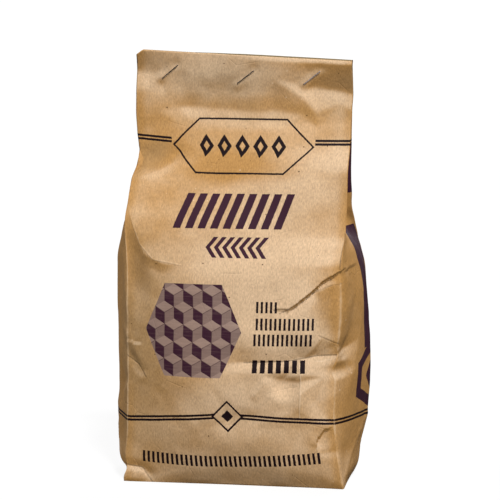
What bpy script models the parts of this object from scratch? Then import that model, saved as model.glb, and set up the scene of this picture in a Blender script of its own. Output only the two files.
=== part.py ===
"""A small paper bag of cement, standing upright with its mouth pressed flat and stapled shut.

Units are metres and +Z is up. The origin is the middle of the flat base, the printed front
faces -Y, and +X is to the right of someone who looks at the front.
"""

import math

import bmesh
import bpy
import numpy as np

# Driving sizes
HEIGHT = 0.250              # top corner on the left, which stands a little higher
TOP_DROP = 0.0052           # how far the top edge falls from left to right
CORNER_CHAMFER = 0.0040     # the clipped top corner on the left
CHAMFER_DROP = 0.0030
FOLD_ROUND = 0.0010         # thickness of a pressed fold, and of a lip of the mouth
CHORD_ROUND = 0.20          # how far half a gusset bows out past a straight line, as a share

# Staples: common office wire, bent round and pressed flat behind the mouth
WIRE_DIAMETER = 0.0005
CROWN_LENGTH = 0.0127
CLINCH_LENGTH = 0.0048
CLEARANCE = 0.0003
CLINCH_TILT = 0.0002        # the clinched ends stand this much further off the paper
STAPLES = {
    "staple_left": (-0.0437, 0.2370, math.radians(40.0)),
    "staple_middle": (0.0010, 0.2345, math.radians(37.5)),
    "staple_right": (0.0399, 0.2345, math.radians(38.5)),
}

# The four long folds of the tube, each as (height, x, y). The load fills the bag to about
# 0.15 m on the left and 0.13 m on the right, and above that the folds come together.
FRONT_LEFT = [
    (0.000, -0.0640, -0.0358), (0.006, -0.0650, -0.0370), (0.035, -0.0626, -0.0375),
    (0.090, -0.0626, -0.0382), (0.129, -0.0635, -0.0385), (0.153, -0.0643, -0.0362),
    (0.163, -0.0638, -0.0290), (0.174, -0.0635, -0.0222), (0.188, -0.0615, -0.0070),
    (0.202, -0.0630, -0.0052), (0.216, -0.0639, -0.0044), (0.228, -0.0639, -0.0037),
    (0.250, -0.0638, -0.0036),
]
FRONT_RIGHT = [
    (0.000, 0.0638, -0.0358), (0.011, 0.0622, -0.0378), (0.024, 0.0604, -0.0390),
    (0.045, 0.0588, -0.0398), (0.070, 0.0600, -0.0400), (0.100, 0.0612, -0.0396),
    (0.129, 0.0618, -0.0388), (0.138, 0.0626, -0.0330), (0.144, 0.0634, -0.0240),
    (0.160, 0.0635, -0.0226), (0.181, 0.0635, -0.0214), (0.197, 0.0635, -0.0110),
    (0.214, 0.0635, -0.0060), (0.228, 0.0635, -0.0038), (0.250, 0.0635, -0.0036),
]
BACK_RIGHT = [
    (0.000, 0.0590, 0.0340), (0.012, 0.0610, 0.0368), (0.045, 0.0618, 0.0390),
    (0.100, 0.0628, 0.0392), (0.125, 0.0630, 0.0360), (0.140, 0.0625, 0.0270),
    (0.150, 0.0615, 0.0160), (0.160, 0.0607, 0.0060), (0.181, 0.0618, -0.0010),
    (0.197, 0.0626, -0.0026), (0.216, 0.0632, -0.0016), (0.250, 0.0635, -0.0010),
]
BACK_LEFT = [
    (0.000, -0.0590, 0.0340), (0.012, -0.0612, 0.0368), (0.045, -0.0620, 0.0390),
    (0.120, -0.0630, 0.0390), (0.140, -0.0632, 0.0355), (0.155, -0.0625, 0.0265),
    (0.166, -0.0615, 0.0150), (0.176, -0.0608, 0.0060), (0.190, -0.0606, 0.0010),
    (0.204, -0.0624, -0.0014), (0.218, -0.0634, -0.0014), (0.250, -0.0638, -0.0010),
]

# The middle crease of each gusset: bowed out by the load, and tucked between the panels above
GUSSET_RIGHT = [
    (0.000, 0.0620, -0.0005), (0.008, 0.0662, 0.0010), (0.020, 0.0684, 0.0025),
    (0.037, 0.0718, 0.0040), (0.068, 0.0738, 0.0050), (0.100, 0.0726, 0.0050),
    (0.122, 0.0708, 0.0040), (0.134, 0.0660, 0.0020), (0.145, 0.0580, -0.0020),
    (0.156, 0.0460, -0.0060), (0.168, 0.0350, -0.0080), (0.182, 0.0295, -0.0082),
    (0.200, 0.0275, -0.0060), (0.220, 0.0268, -0.0034), (0.250, 0.0265, -0.0023),
]
GUSSET_LEFT = [
    (0.000, -0.0625, -0.0005), (0.006, -0.0720, 0.0000), (0.037, -0.0745, 0.0000),
    (0.083, -0.0752, 0.0010), (0.128, -0.0742, 0.0010), (0.144, -0.0690, 0.0010),
    (0.156, -0.0600, 0.0000), (0.166, -0.0480, -0.0010), (0.177, -0.0360, -0.0020),
    (0.190, -0.0290, -0.0022), (0.205, -0.0272, -0.0028), (0.222, -0.0266, -0.0026),
    (0.250, -0.0265, -0.0023),
]

# How far the middle of each panel stands forward or back, as (height, y)
FRONT_MIDDLE = [
    (0.000, -0.0364), (0.030, -0.0420), (0.060, -0.0445), (0.090, -0.0440), (0.120, -0.0418),
    (0.150, -0.0350), (0.180, -0.0240), (0.203, -0.0125), (0.218, -0.0058), (0.228, -0.0038),
    (0.250, -0.0036),
]
BACK_MIDDLE = [
    (0.000, 0.0346), (0.030, 0.0410), (0.060, 0.0435), (0.090, 0.0435), (0.120, 0.0410),
    (0.150, 0.0320), (0.175, 0.0200), (0.198, 0.0080), (0.215, 0.0008), (0.228, -0.0009),
    (0.250, -0.0010),
]

# Rings of the loft, and stations across a panel and along half a gusset
RING_HEIGHTS = [
    0.000, 0.003, 0.006, 0.012, 0.020, 0.030, 0.045, 0.060, 0.080, 0.100, 0.114, 0.124, 0.131,
    0.138, 0.144, 0.150, 0.156, 0.162, 0.168, 0.174, 0.181, 0.188, 0.196, 0.205, 0.216, 0.228,
    0.240, 0.250,
]
PANEL_STATIONS = [0.0, 0.032, 0.10, 0.20, 0.30, 0.40, 0.50, 0.60, 0.70, 0.80, 0.90, 0.968, 1.0]
GUSSET_STATIONS = [0.0, 0.25, 0.5, 0.75]

BAG_COLLECTION = "cement_bag"
CUTTER_COLLECTION = "cutters"


def clear_scene():
    for item in list(bpy.data.objects):
        bpy.data.objects.remove(item, do_unlink=True)


def make_collection(name):
    collection = bpy.data.collections.new(name)
    bpy.context.scene.collection.children.link(collection)
    return collection


def make_material(name, colour, roughness, metallic):
    material = bpy.data.materials.new(name)
    material.use_nodes = True
    shader = material.node_tree.nodes["Principled BSDF"]
    shader.inputs["Base Color"].default_value = (*colour, 1.0)
    shader.inputs["Roughness"].default_value = roughness
    shader.inputs["Metallic"].default_value = metallic
    return material


def curve_through(stations, z):
    """Read a list of (height, value, ...) at height z, on a curve that never overshoots."""
    heights = np.array([station[0] for station in stations])
    values = np.array([station[1:] for station in stations])
    spans = np.diff(heights)
    slopes = np.diff(values, axis=0) / spans[:, None]
    tangents = np.zeros_like(values)
    same_way = slopes[:-1] * slopes[1:] > 0.0
    harmonic = 2.0 * slopes[:-1] * slopes[1:] / np.where(same_way, slopes[:-1] + slopes[1:], 1.0)
    tangents[1:-1] = np.where(same_way, harmonic, 0.0)
    tangents[0] = slopes[0]
    tangents[-1] = slopes[-1]
    index = int(np.clip(np.searchsorted(heights, z) - 1, 0, len(spans) - 1))
    t = (z - heights[index]) / spans[index]
    start = (1.0 + 2.0 * t) * (1.0 - t) ** 2 * values[index]
    start += t * (1.0 - t) ** 2 * spans[index] * tangents[index]
    end = t * t * (3.0 - 2.0 * t) * values[index + 1]
    end += t * t * (t - 1.0) * spans[index] * tangents[index + 1]
    return start + end


def top_height(x):
    """Height of the cut edge of the mouth, which slopes and has one clipped corner."""
    left, right = FRONT_LEFT[-1][1], FRONT_RIGHT[-1][1]
    slope = TOP_DROP * (x - left) / (right - left)
    clip = CHAMFER_DROP * max(0.0, 1.0 - (x - left) / CORNER_CHAMFER)
    return HEIGHT - slope - clip


def panel_points(start, end, middle_y):
    """Points across a panel between two folds, bowed so that its middle reaches middle_y."""
    bow = middle_y - 0.5 * (start[1] + end[1])
    points = []
    for share in PANEL_STATIONS:
        rise = 1.0 - abs(2.0 * share - 1.0) ** 2.5
        x, y = start + (end - start) * share
        points.append((x, y + bow * rise))
    return points


def half_gusset(start, end, outward):
    """Points from start towards end, leaving end out, bowed out where the load presses."""
    points = []
    bulge = max(0.0, outward * (end[0] - start[0]))
    swell = CHORD_ROUND * min(bulge, abs(end[0] - start[0]))
    for share in GUSSET_STATIONS:
        x, y = start + (end - start) * share
        points.append((x + outward * swell * math.sin(math.pi * share), y))
    return points


def gusset_points(front, crease, back, outward):
    """Points from the front fold to the back fold of one side, round the middle crease."""
    forward = half_gusset(front, crease, outward)
    backward = half_gusset(back, crease, outward)
    return forward + [tuple(crease)] + backward[::-1]


def ring_points(z):
    """One closed ring of the bag at height z, anticlockwise seen from above."""
    behind = np.array([0.0003, FOLD_ROUND])
    mirrored = np.array([-0.0003, FOLD_ROUND])
    front_left = curve_through(FRONT_LEFT, z)
    front_right = curve_through(FRONT_RIGHT, z)
    back_right = curve_through(BACK_RIGHT, z)
    back_left = curve_through(BACK_LEFT, z)
    front = panel_points(front_left, front_right, curve_through(FRONT_MIDDLE, z)[0])
    right = gusset_points(
        front_right + behind, curve_through(GUSSET_RIGHT, z), back_right - mirrored, 1.0
    )
    back = panel_points(back_right, back_left, curve_through(BACK_MIDDLE, z)[0])
    left = gusset_points(
        front_left + mirrored, curve_through(GUSSET_LEFT, z), back_left - behind, -1.0
    )
    return front + right + back + left[::-1]


def make_bag(collection, material):
    """Loft the rings into one closed body, with a flat base and a flat pressed mouth."""
    mesh = bmesh.new()
    rings = []
    blend_from = 0.216
    for z in RING_HEIGHTS:
        lean = max(0.0, (z - blend_from) / (HEIGHT - blend_from))
        ring = []
        for x, y in ring_points(z):
            ring.append(mesh.verts.new((x, y, z + lean * (top_height(x) - HEIGHT))))
        rings.append(ring)
    count = len(rings[0])
    for lower, upper in zip(rings, rings[1:]):
        for i in range(count):
            j = (i + 1) % count
            mesh.faces.new((lower[i], lower[j], upper[j], upper[i]))
    mesh.faces.new(rings[0][::-1])
    mesh.faces.new(rings[-1])
    bmesh.ops.recalc_face_normals(mesh, faces=mesh.faces)
    data = bpy.data.meshes.new("paper_bag")
    mesh.to_mesh(data)
    mesh.free()
    data.shade_smooth()
    data.set_sharp_from_angle(angle=math.radians(35.0))
    data.materials.append(material)
    bag = bpy.data.objects.new("paper_bag", data)
    collection.objects.link(bag)
    return bag


def mouth_faces(x, z):
    """The y of the front and the back of the pressed mouth at a place on it."""
    front = ring_points(z)
    count = len(PANEL_STATIONS)
    gusset = 2 * len(GUSSET_STATIONS) + 1
    front_row = front[:count]
    back_row = front[count + gusset:2 * count + gusset][::-1]
    front_y = np.interp(x, [p[0] for p in front_row], [p[1] for p in front_row])
    back_y = np.interp(x, [p[0] for p in back_row], [p[1] for p in back_row])
    return front_y, back_y


def staple_route(name):
    """The wire's centre line: clinch, leg, crown, leg, clinch."""
    x, z, tilt = STAPLES[name]
    radius = 0.5 * WIRE_DIAMETER
    half = 0.5 * CROWN_LENGTH - radius
    along = np.array([math.cos(tilt), math.sin(tilt)])
    ends = [np.array([x, z]) - along * half, np.array([x, z]) + along * half]
    faces = [mouth_faces(*place) for place in ends + [np.array([x, z])]]
    front = min(face[0] for face in faces) - CLEARANCE - radius
    back = max(face[1] for face in faces) + CLEARANCE + radius
    corner = 0.0004
    inward = [ends[0] + along * CLINCH_LENGTH, ends[1] - along * CLINCH_LENGTH]
    return [
        (inward[0][0], back + CLINCH_TILT, inward[0][1]),
        (ends[0][0] + corner * along[0], back, ends[0][1] + corner * along[1]),
        (ends[0][0], back - corner, ends[0][1]),
        (ends[0][0], front + corner, ends[0][1]),
        (ends[0][0] + corner * along[0], front, ends[0][1] + corner * along[1]),
        (ends[1][0] - corner * along[0], front, ends[1][1] - corner * along[1]),
        (ends[1][0], front + corner, ends[1][1]),
        (ends[1][0], back - corner, ends[1][1]),
        (ends[1][0] - corner * along[0], back, ends[1][1] - corner * along[1]),
        (inward[1][0], back + CLINCH_TILT, inward[1][1]),
    ]


def make_staple(name, collection, material):
    curve = bpy.data.curves.new(name, "CURVE")
    curve.dimensions = "3D"
    curve.bevel_depth = 0.5 * WIRE_DIAMETER
    curve.bevel_resolution = 2
    curve.use_fill_caps = True
    route = staple_route(name)
    spline = curve.splines.new("POLY")
    spline.points.add(len(route) - 1)
    for point, place in zip(spline.points, route):
        point.co = (*place, 1.0)
    curve.materials.append(material)
    staple = bpy.data.objects.new(name, curve)
    collection.objects.link(staple)
    return staple


def make_leg_hole(name, x, z, collection):
    """A short round bar along Y that pierces the mouth where a staple's leg passes."""
    front, back = mouth_faces(x, z)
    mesh = bmesh.new()
    bmesh.ops.create_cone(
        mesh, cap_ends=True, segments=10, depth=(back - front) + 0.006,
        radius1=0.5 * WIRE_DIAMETER + CLEARANCE, radius2=0.5 * WIRE_DIAMETER + CLEARANCE,
    )
    data = bpy.data.meshes.new(name)
    mesh.to_mesh(data)
    mesh.free()
    cutter = bpy.data.objects.new(name, data)
    cutter.location = (x, 0.5 * (front + back), z)
    cutter.rotation_euler = (math.radians(90.0), 0.0, 0.0)
    cutter.hide_render = True
    cutter.display_type = "WIRE"
    collection.objects.link(cutter)
    return cutter


def pierce(bag, collection):
    """Cut the six holes of the staples' legs out of the mouth."""
    for name in STAPLES:
        route = staple_route(name)
        for side, leg in (("low", route[2]), ("high", route[7])):
            cutter = make_leg_hole(f"{name}_{side}_hole", leg[0], leg[2], collection)
            cut = bag.modifiers.new(cutter.name, "BOOLEAN")
            cut.operation = "DIFFERENCE"
            cut.solver = "EXACT"
            cut.object = cutter


def main():
    clear_scene()
    parts = make_collection(BAG_COLLECTION)
    cutters = make_collection(CUTTER_COLLECTION)
    kraft = make_material("kraft_paper", (0.50, 0.31, 0.15), 0.78, 0.0)
    wire = make_material("staple_wire", (0.42, 0.42, 0.40), 0.35, 1.0)
    bag = make_bag(parts, kraft)
    for name in STAPLES:
        make_staple(name, parts, wire)
    pierce(bag, cutters)


main()
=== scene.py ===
# %% [markdown]
# # A stapled paper bag of cement
#
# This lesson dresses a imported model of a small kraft-paper bag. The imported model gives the
# bag's size and place. Each cell below adds one thing: the sheet of paper, its folds, the
# creases that handling has left, the ink, the staples, and at last the light and the camera.
#
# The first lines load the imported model. Everything is in metres, +Z is up, the printed front
# faces -Y, and the origin is the middle of the flat base.

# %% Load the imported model
import math

import bpy
import numpy as np
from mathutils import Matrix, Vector
from mathutils.geometry import delaunay_2d_cdt


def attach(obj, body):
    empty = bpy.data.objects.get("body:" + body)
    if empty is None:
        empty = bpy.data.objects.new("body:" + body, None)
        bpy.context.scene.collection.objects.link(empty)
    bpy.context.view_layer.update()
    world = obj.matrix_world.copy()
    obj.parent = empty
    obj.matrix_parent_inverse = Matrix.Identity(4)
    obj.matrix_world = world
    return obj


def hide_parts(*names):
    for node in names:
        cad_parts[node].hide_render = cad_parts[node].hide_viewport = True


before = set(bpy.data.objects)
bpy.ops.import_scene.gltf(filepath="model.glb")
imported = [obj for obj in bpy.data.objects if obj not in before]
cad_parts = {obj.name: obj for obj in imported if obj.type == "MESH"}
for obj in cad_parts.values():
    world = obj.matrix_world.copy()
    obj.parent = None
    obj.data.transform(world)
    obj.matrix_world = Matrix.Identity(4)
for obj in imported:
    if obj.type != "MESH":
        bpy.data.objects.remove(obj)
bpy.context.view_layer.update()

# %% [markdown]
# ## Sizes of the real bag
#
# A bag like this starts as one flat sheet, which a machine glues into a tube and folds. It has
# a front, two side gussets and a back. Paper does not stretch, so the lengths across the
# sheet stay what they were when it was cut, however the load pushes the bag about. We keep
# those lengths as names and let every later step use them.

# %% Sizes of the flat sheet
HEIGHT = 0.250
PANEL_WIDTH = 0.127
GUSSET_WIDTH = 0.075
SEAM_OVERLAP = 0.012
PAPER = 0.00018
TOP_DROP = 0.0056
CORNER_CHAMFER = 0.0040
CHAMFER_DROP = 0.0030
MOUTH_FROM = 0.216
HALF_PANEL = PANEL_WIDTH / 2
HALF_AROUND = PANEL_WIDTH + GUSSET_WIDTH
TINY = 1e-9  # slack for places that lie right on a fold, and a guard for a length of 0
print("the sheet is", round(2 * HALF_AROUND + SEAM_OVERLAP, 3), "m across")

# %% [markdown]
# ## Where the folds run
#
# The shape of a filled bag is mostly told by its long folds. We write each fold as a short list
# of (height, x, y). The load fills the bag to about 0.15 m on the left and 0.13 m on
# the right. Above that the front and back folds come together, and the middle crease of each
# gusset dives in between the panels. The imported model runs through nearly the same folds, with a
# flatter front.

# %% The long folds
FRONT_LEFT = [
    (0.0, -0.0652, -0.0362), (0.004, -0.0646, -0.0366), (0.008, -0.0636, -0.037),
    (0.014, -0.0642, -0.0372), (0.035, -0.0626, -0.0375), (0.09, -0.0626, -0.0382),
    (0.129, -0.0635, -0.0382), (0.145, -0.0641, -0.0366), (0.154, -0.0643, -0.0338),
    (0.164, -0.0638, -0.028), (0.174, -0.0635, -0.0215), (0.1843, -0.0628, -0.0136),
    (0.1885, -0.0623, -0.0098), (0.1925, -0.0613, -0.0075), (0.202, -0.063, -0.0052),
    (0.216, -0.0639, -0.0044), (0.228, -0.0639, -0.0037), (0.25, -0.0638, -0.0036),
]
FRONT_RIGHT = [
    (0.0, 0.0638, -0.0358), (0.011, 0.0622, -0.0378), (0.024, 0.0604, -0.039),
    (0.045, 0.0588, -0.0398), (0.07, 0.06, -0.04), (0.1, 0.0612, -0.0396), (0.129, 0.0618, -0.0384),
    (0.138, 0.0627, -0.0336), (0.146, 0.0636, -0.0278), (0.16, 0.0637, -0.0236),
    (0.181, 0.0635, -0.0205), (0.197, 0.0635, -0.011), (0.214, 0.0635, -0.006),
    (0.228, 0.0635, -0.0038), (0.25, 0.0635, -0.0036),
]
BACK_RIGHT = [
    (0.0, 0.059, 0.034), (0.012, 0.061, 0.0368), (0.045, 0.0618, 0.039), (0.1, 0.0628, 0.0392),
    (0.125, 0.063, 0.036), (0.14, 0.063, 0.027), (0.15, 0.0626, 0.016), (0.16, 0.0621, 0.006),
    (0.181, 0.0626, -0.001), (0.197, 0.0631, -0.0026), (0.216, 0.0632, -0.0016),
    (0.25, 0.0635, -0.001),
]
BACK_LEFT = [
    (0.0, -0.059, 0.034), (0.012, -0.0612, 0.0368), (0.045, -0.062, 0.039), (0.12, -0.063, 0.039),
    (0.14, -0.0632, 0.0355), (0.155, -0.0625, 0.0265), (0.166, -0.0615, 0.015),
    (0.176, -0.0608, 0.006), (0.19, -0.0606, 0.001), (0.204, -0.0624, -0.0014),
    (0.218, -0.0634, -0.0014), (0.25, -0.0638, -0.001),
]
GUSSET_RIGHT = [
    (0.0, 0.0632, -0.0005), (0.008, 0.067, 0.001), (0.02, 0.0684, 0.0025), (0.037, 0.0718, 0.004),
    (0.068, 0.0734, 0.005), (0.1, 0.0716, 0.005), (0.122, 0.0702, 0.004), (0.134, 0.0672, 0.002),
    (0.145, 0.06, -0.002), (0.156, 0.046, -0.006), (0.168, 0.035, -0.008), (0.182, 0.0295, -0.0082),
    (0.2, 0.0275, -0.006), (0.22, 0.0268, -0.0034), (0.25, 0.0265, -0.0023),
]
GUSSET_LEFT = [
    (0.0, -0.0625, -0.0005), (0.0065, -0.0672, 0.0), (0.0095, -0.0744, 0.0), (0.014, -0.0754, 0.0),
    (0.037, -0.075, 0.0), (0.06, -0.0756, 0.0006), (0.083, -0.0764, 0.001), (0.128, -0.0757, 0.001),
    (0.144, -0.0722, 0.001), (0.156, -0.0672, 0.0), (0.166, -0.059, -0.001),
    (0.177, -0.043, -0.002), (0.19, -0.031, -0.0022), (0.205, -0.0272, -0.0028),
    (0.222, -0.0266, -0.0026), (0.25, -0.0265, -0.0023),
]
FRONT_MIDDLE = [
    (0.0, -0.0366), (0.015, -0.042), (0.035, -0.0462), (0.06, -0.0486), (0.09, -0.0488),
    (0.12, -0.0452), (0.15, -0.036), (0.18, -0.024), (0.203, -0.0118), (0.21, -0.0078),
    (0.216, -0.0055), (0.223, -0.0044), (0.23, -0.0037), (0.25, -0.0036),
]
BACK_MIDDLE = [
    (0.0, 0.0346), (0.03, 0.041), (0.06, 0.0435), (0.09, 0.0435), (0.12, 0.041), (0.15, 0.032),
    (0.175, 0.02), (0.198, 0.008), (0.215, 0.0008), (0.228, -0.0009), (0.25, -0.001),
]


def curve_through(stations, heights):
    """Reads a list of (height, value, ...) at many heights, on a curve that never overshoots."""
    known = np.array([station[0] for station in stations])
    values = np.array([station[1:] for station in stations])
    spans = np.diff(known)
    slopes = np.diff(values, axis=0) / spans[:, None]
    tangents = np.zeros_like(values)
    same_way = slopes[:-1] * slopes[1:] > 0.0
    total = np.where(same_way, slopes[:-1] + slopes[1:], 1.0)
    tangents[1:-1] = np.where(same_way, 2.0 * slopes[:-1] * slopes[1:] / total, 0.0)
    tangents[0], tangents[-1] = slopes[0], slopes[-1]
    index = np.clip(np.searchsorted(known, heights) - 1, 0, len(spans) - 1)
    span = spans[index][:, None]
    t = ((heights - known[index]) / spans[index])[:, None]
    start = (1 + 2 * t) * (1 - t) ** 2 * values[index] + t * (1 - t) ** 2 * span * tangents[index]
    end = t * t * (3 - 2 * t) * values[index + 1] + t * t * (t - 1) * span * tangents[index + 1]
    return start + end


print("the folds reach", FRONT_LEFT[-1][0], "m")

# %% [markdown]
# ## One grid for the whole sheet
#
# The bag could be sculpted by hand or inflated as cloth. Here it is lofted from the folds,
# because folded paper keeps crisp corners that an inflated cloth would round off. The sheet
# becomes a grid: columns run up the bag and rows run round it. Each column knows its place
# across the flat sheet, and that place later carries the print, just as on the real web of
# paper before it was folded.

# %% Columns and rows of the grid
ROWS = 256
FRONT_COLUMNS = 176
BACK_COLUMNS = 64
GUSSET_COLUMNS = 24
SEAM_COLUMNS = 8
FOLD_ROUND = 0.0005


def spaced(start, end, steps, last=False):
    return list(np.linspace(start, end, steps + 1))[: steps + 1 if last else steps]


def sheet_columns():
    """The place of each column across the flat sheet, from seam to seam and past it."""
    fold, crease = HALF_PANEL, HALF_PANEL + GUSSET_WIDTH / 2
    back = HALF_PANEL + GUSSET_WIDTH
    right = spaced(0, fold, FRONT_COLUMNS // 2) + spaced(fold, crease, GUSSET_COLUMNS)
    right += spaced(crease, back, GUSSET_COLUMNS)
    right += spaced(back, HALF_AROUND, BACK_COLUMNS // 2, True)
    left = [-place for place in right[:0:-1]]
    flap = spaced(HALF_AROUND, HALF_AROUND + SEAM_OVERLAP, SEAM_COLUMNS, True)[1:]
    return np.array(left + right + flap)


ACROSS = sheet_columns()
UP = np.linspace(0.0, HEIGHT, ROWS)
print(len(ACROSS), "columns and", ROWS, "rows")

# %% [markdown]
# ## Lofting the bag
#
# For each row we know where the six folds are. The panels bow between their folds, and each
# half of a gusset runs from its fold to the middle crease, bowed out where powder presses from
# inside. At the mouth the cut edge slopes a little and one corner is clipped.

# %% Loft the sheet through its folds
CHORD_ROUND = 0.20
BACK_RISE = 0.0006
RISE_EASE = 0.03
BOW_POWER = 2.2


def between(start, end, share):
    return start[:, None, :] + (end - start)[:, None, :] * share[None, :, None]


def panel(start, end, middle, share):
    """A front or back panel: straight between its folds, and bowed to reach the middle."""
    rise = 1.0 - np.abs(2.0 * share - 1.0) ** BOW_POWER
    bow = middle - 0.5 * (start[:, 1:2] + end[:, 1:2])
    points = between(start, end, share)
    points[:, :, 1] += bow * rise
    return points


def half_gusset(fold, crease, share, outward):
    """Half a gusset, from its fold to the middle crease."""
    reach = outward * (crease[:, :1] - fold[:, :1])
    swell = CHORD_ROUND * np.clip(reach, 0.0, None) * np.sin(math.pi * share)
    points = between(fold, crease, share)
    points[:, :, 0] += outward * swell
    return points


def loft():
    """The place of every point of the sheet, before any crease or dent."""
    front_left, front_right, back_right, back_left, gusset_right, gusset_left = (
        curve_through(fold, UP)
        for fold in (FRONT_LEFT, FRONT_RIGHT, BACK_RIGHT, BACK_LEFT, GUSSET_RIGHT, GUSSET_LEFT)
    )
    front_middle, back_middle = curve_through(FRONT_MIDDLE, UP), curve_through(BACK_MIDDLE, UP)
    behind = np.array([0.5 * FOLD_ROUND, FOLD_ROUND])
    before = behind * (1.0, -1.0)
    across = np.abs(ACROSS)
    side = np.sign(ACROSS)
    spots = np.zeros((ROWS, len(ACROSS), 2))
    on_front = across < HALF_PANEL + TINY
    share = (ACROSS[on_front] + HALF_PANEL) / PANEL_WIDTH
    spots[:, on_front] = panel(front_left, front_right, front_middle, share)
    crease_at, back_at = HALF_PANEL + GUSSET_WIDTH / 2, HALF_PANEL + GUSSET_WIDTH
    for way, front, crease, back in (
        (1.0, front_right, gusset_right, back_right), (-1.0, front_left, gusset_left, back_left)
    ):
        mirror = np.array([way, 1.0])
        chosen = (side == way) & (across > HALF_PANEL + TINY) & (across <= crease_at + TINY)
        share = (across[chosen] - HALF_PANEL) / (GUSSET_WIDTH / 2)
        spots[:, chosen] = half_gusset(front + behind * mirror, crease, share, way)
        chosen = (side == way) & (across > crease_at + TINY) & (across < back_at - TINY)
        share = (back_at - across[chosen]) / (GUSSET_WIDTH / 2)
        spots[:, chosen] = half_gusset(back + before * mirror, crease, share, way)
    on_back = across >= back_at - TINY
    turned = np.where(ACROSS > 0, ACROSS - HALF_AROUND, ACROSS + HALF_AROUND)
    share = (turned[on_back] + HALF_PANEL) / PANEL_WIDTH
    spots[:, on_back] = panel(back_right, back_left, back_middle, share)
    return spots


def cut_edge(x):
    """Height of the mouth's cut edge at x."""
    left, right = FRONT_LEFT[-1][1], FRONT_RIGHT[-1][1]
    slope = TOP_DROP * (x - left) / (right - left)
    clip = CHAMFER_DROP * np.clip(1.0 - (x - left) / CORNER_CHAMFER, 0.0, 1.0)
    return HEIGHT - slope - clip


def raise_rows(spots):
    """Adds the heights, so that the last row follows the cut edge."""
    lean = np.clip((UP - MOUTH_FROM) / (HEIGHT - MOUTH_FROM), 0.0, 1.0)[:, None]
    heights = UP[:, None] + lean * (cut_edge(spots[:, :, 0]) - HEIGHT)
    back = np.abs(ACROSS) >= HALF_PANEL + GUSSET_WIDTH - TINY
    share = np.clip((spots[:, :, 0] + RISE_EASE) / RISE_EASE, 0.0, 1.0)
    return np.dstack([spots, heights + BACK_RISE * lean * back * share])


SHEET = raise_rows(loft())
print("lofted sheet spans", SHEET.min(axis=(0, 1)).round(4), SHEET.max(axis=(0, 1)).round(4))

# %% [markdown]
# ## Tools for creasing paper
#
# Paper bends in two ways: soft swellings, and sharp lines that stay where it was once folded.
# A few small tools cover both. A swelling is a smooth round patch. A crease follows a drawn
# line, and may lift one side over the other. A set of facets stretches flat triangles between
# chosen points, which is how crumpled paper really looks. All work in the flat sheet's own
# measures, across and up.

# %% Tools: smooth steps, swellings and facets
ACROSS_GRID, UP_GRID = np.meshgrid(ACROSS, UP)


def smooth(t):
    t = np.clip(t, 0.0, 1.0)
    return t * t * (3.0 - 2.0 * t)


def round_patch(across, up, wide, tall, turn):
    """1 in the middle of an oval patch, falling smoothly to 0 at its rim."""
    c, s = math.cos(math.radians(turn)), math.sin(math.radians(turn))
    right, high = ACROSS_GRID - across, UP_GRID - up
    far = ((right * c + high * s) / wide) ** 2 + ((high * c - right * s) / tall) ** 2
    return np.clip(1.0 - far, 0.0, None) ** 2


def soften(grid, reach):
    """A small blur over a number of rows and columns, with the rim kept."""
    if reach < 1:
        return grid
    weights = np.exp(-0.5 * (np.arange(-2 * reach, 2 * reach + 1) / reach) ** 2)
    weights /= weights.sum()
    for axis in (0, 1):
        pad = [(2 * reach, 2 * reach) if a == axis else (0, 0) for a in (0, 1)]
        wide = np.pad(grid, pad, mode="edge")
        size = grid.shape[axis]
        grid = sum(w * np.take(wide, range(i, i + size), axis) for i, w in enumerate(weights))
    return grid


def facets(spots, blur=1):
    """Flat triangles stretched between (across, up, height) spots, read on the grid."""
    corners, _, faces, _, _, _ = delaunay_2d_cdt([Vector(s[:2]) for s in spots], [], [], 0, 1e-7)
    heights = np.array([spot[2] for spot in spots])
    lifted = np.zeros_like(ACROSS_GRID)
    for face in faces:
        (ax, ay), (bx, by), (cx, cy) = (corners[i] for i in face)
        area = (bx - ax) * (cy - ay) - (cx - ax) * (by - ay)
        if abs(area) < 1e-12:
            continue
        rows = slice(*np.searchsorted(UP, (min(ay, by, cy), max(ay, by, cy) + TINY)))
        columns = slice(*np.searchsorted(ACROSS, (min(ax, bx, cx), max(ax, bx, cx) + TINY)))
        across, up = ACROSS_GRID[rows, columns], UP_GRID[rows, columns]
        second = ((across - ax) * (cy - ay) - (cx - ax) * (up - ay)) / area
        third = ((bx - ax) * (up - ay) - (across - ax) * (by - ay)) / area
        first = 1.0 - second - third
        inside = (first >= -1e-6) & (second >= -1e-6) & (third >= -1e-6)
        a, b, c = heights[list(face)]
        part = lifted[rows, columns]
        part[inside] = (a * first + b * second + c * third)[inside]
    return soften(lifted, blur)


# %% Tools: creases
def beside(path):
    """Distance from a drawn line, with its sign, and how far along it, both over the sheet."""
    nearest = np.full(ACROSS_GRID.shape, 1e9)
    signed, along = np.zeros_like(nearest), np.zeros_like(nearest)
    lengths = [math.dist(a, b) for a, b in zip(path, path[1:])]
    gone = 0.0
    for (ax, ay), (bx, by), length in zip(path, path[1:], lengths):
        ux, uy = (bx - ax) / length, (by - ay) / length
        right, high = ACROSS_GRID - ax, UP_GRID - ay
        t = np.clip(right * ux + high * uy, 0.0, length)
        far = np.hypot(right - t * ux, high - t * uy)
        closer = far < nearest
        side = np.where(ux * high - uy * right >= 0.0, 1.0, -1.0)
        signed = np.where(closer, side * far, signed)
        along = np.where(closer, (gone + t) / sum(lengths), along)
        nearest = np.minimum(far, nearest)
        gone += length
    return signed, along


FLANK_POWER = 1.5
CREASE_FADE = 0.25
RUB_FADE = 0.15


def fade_ends(along, share):
    return smooth(along / share) * smooth((1.0 - along) / share)


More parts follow.
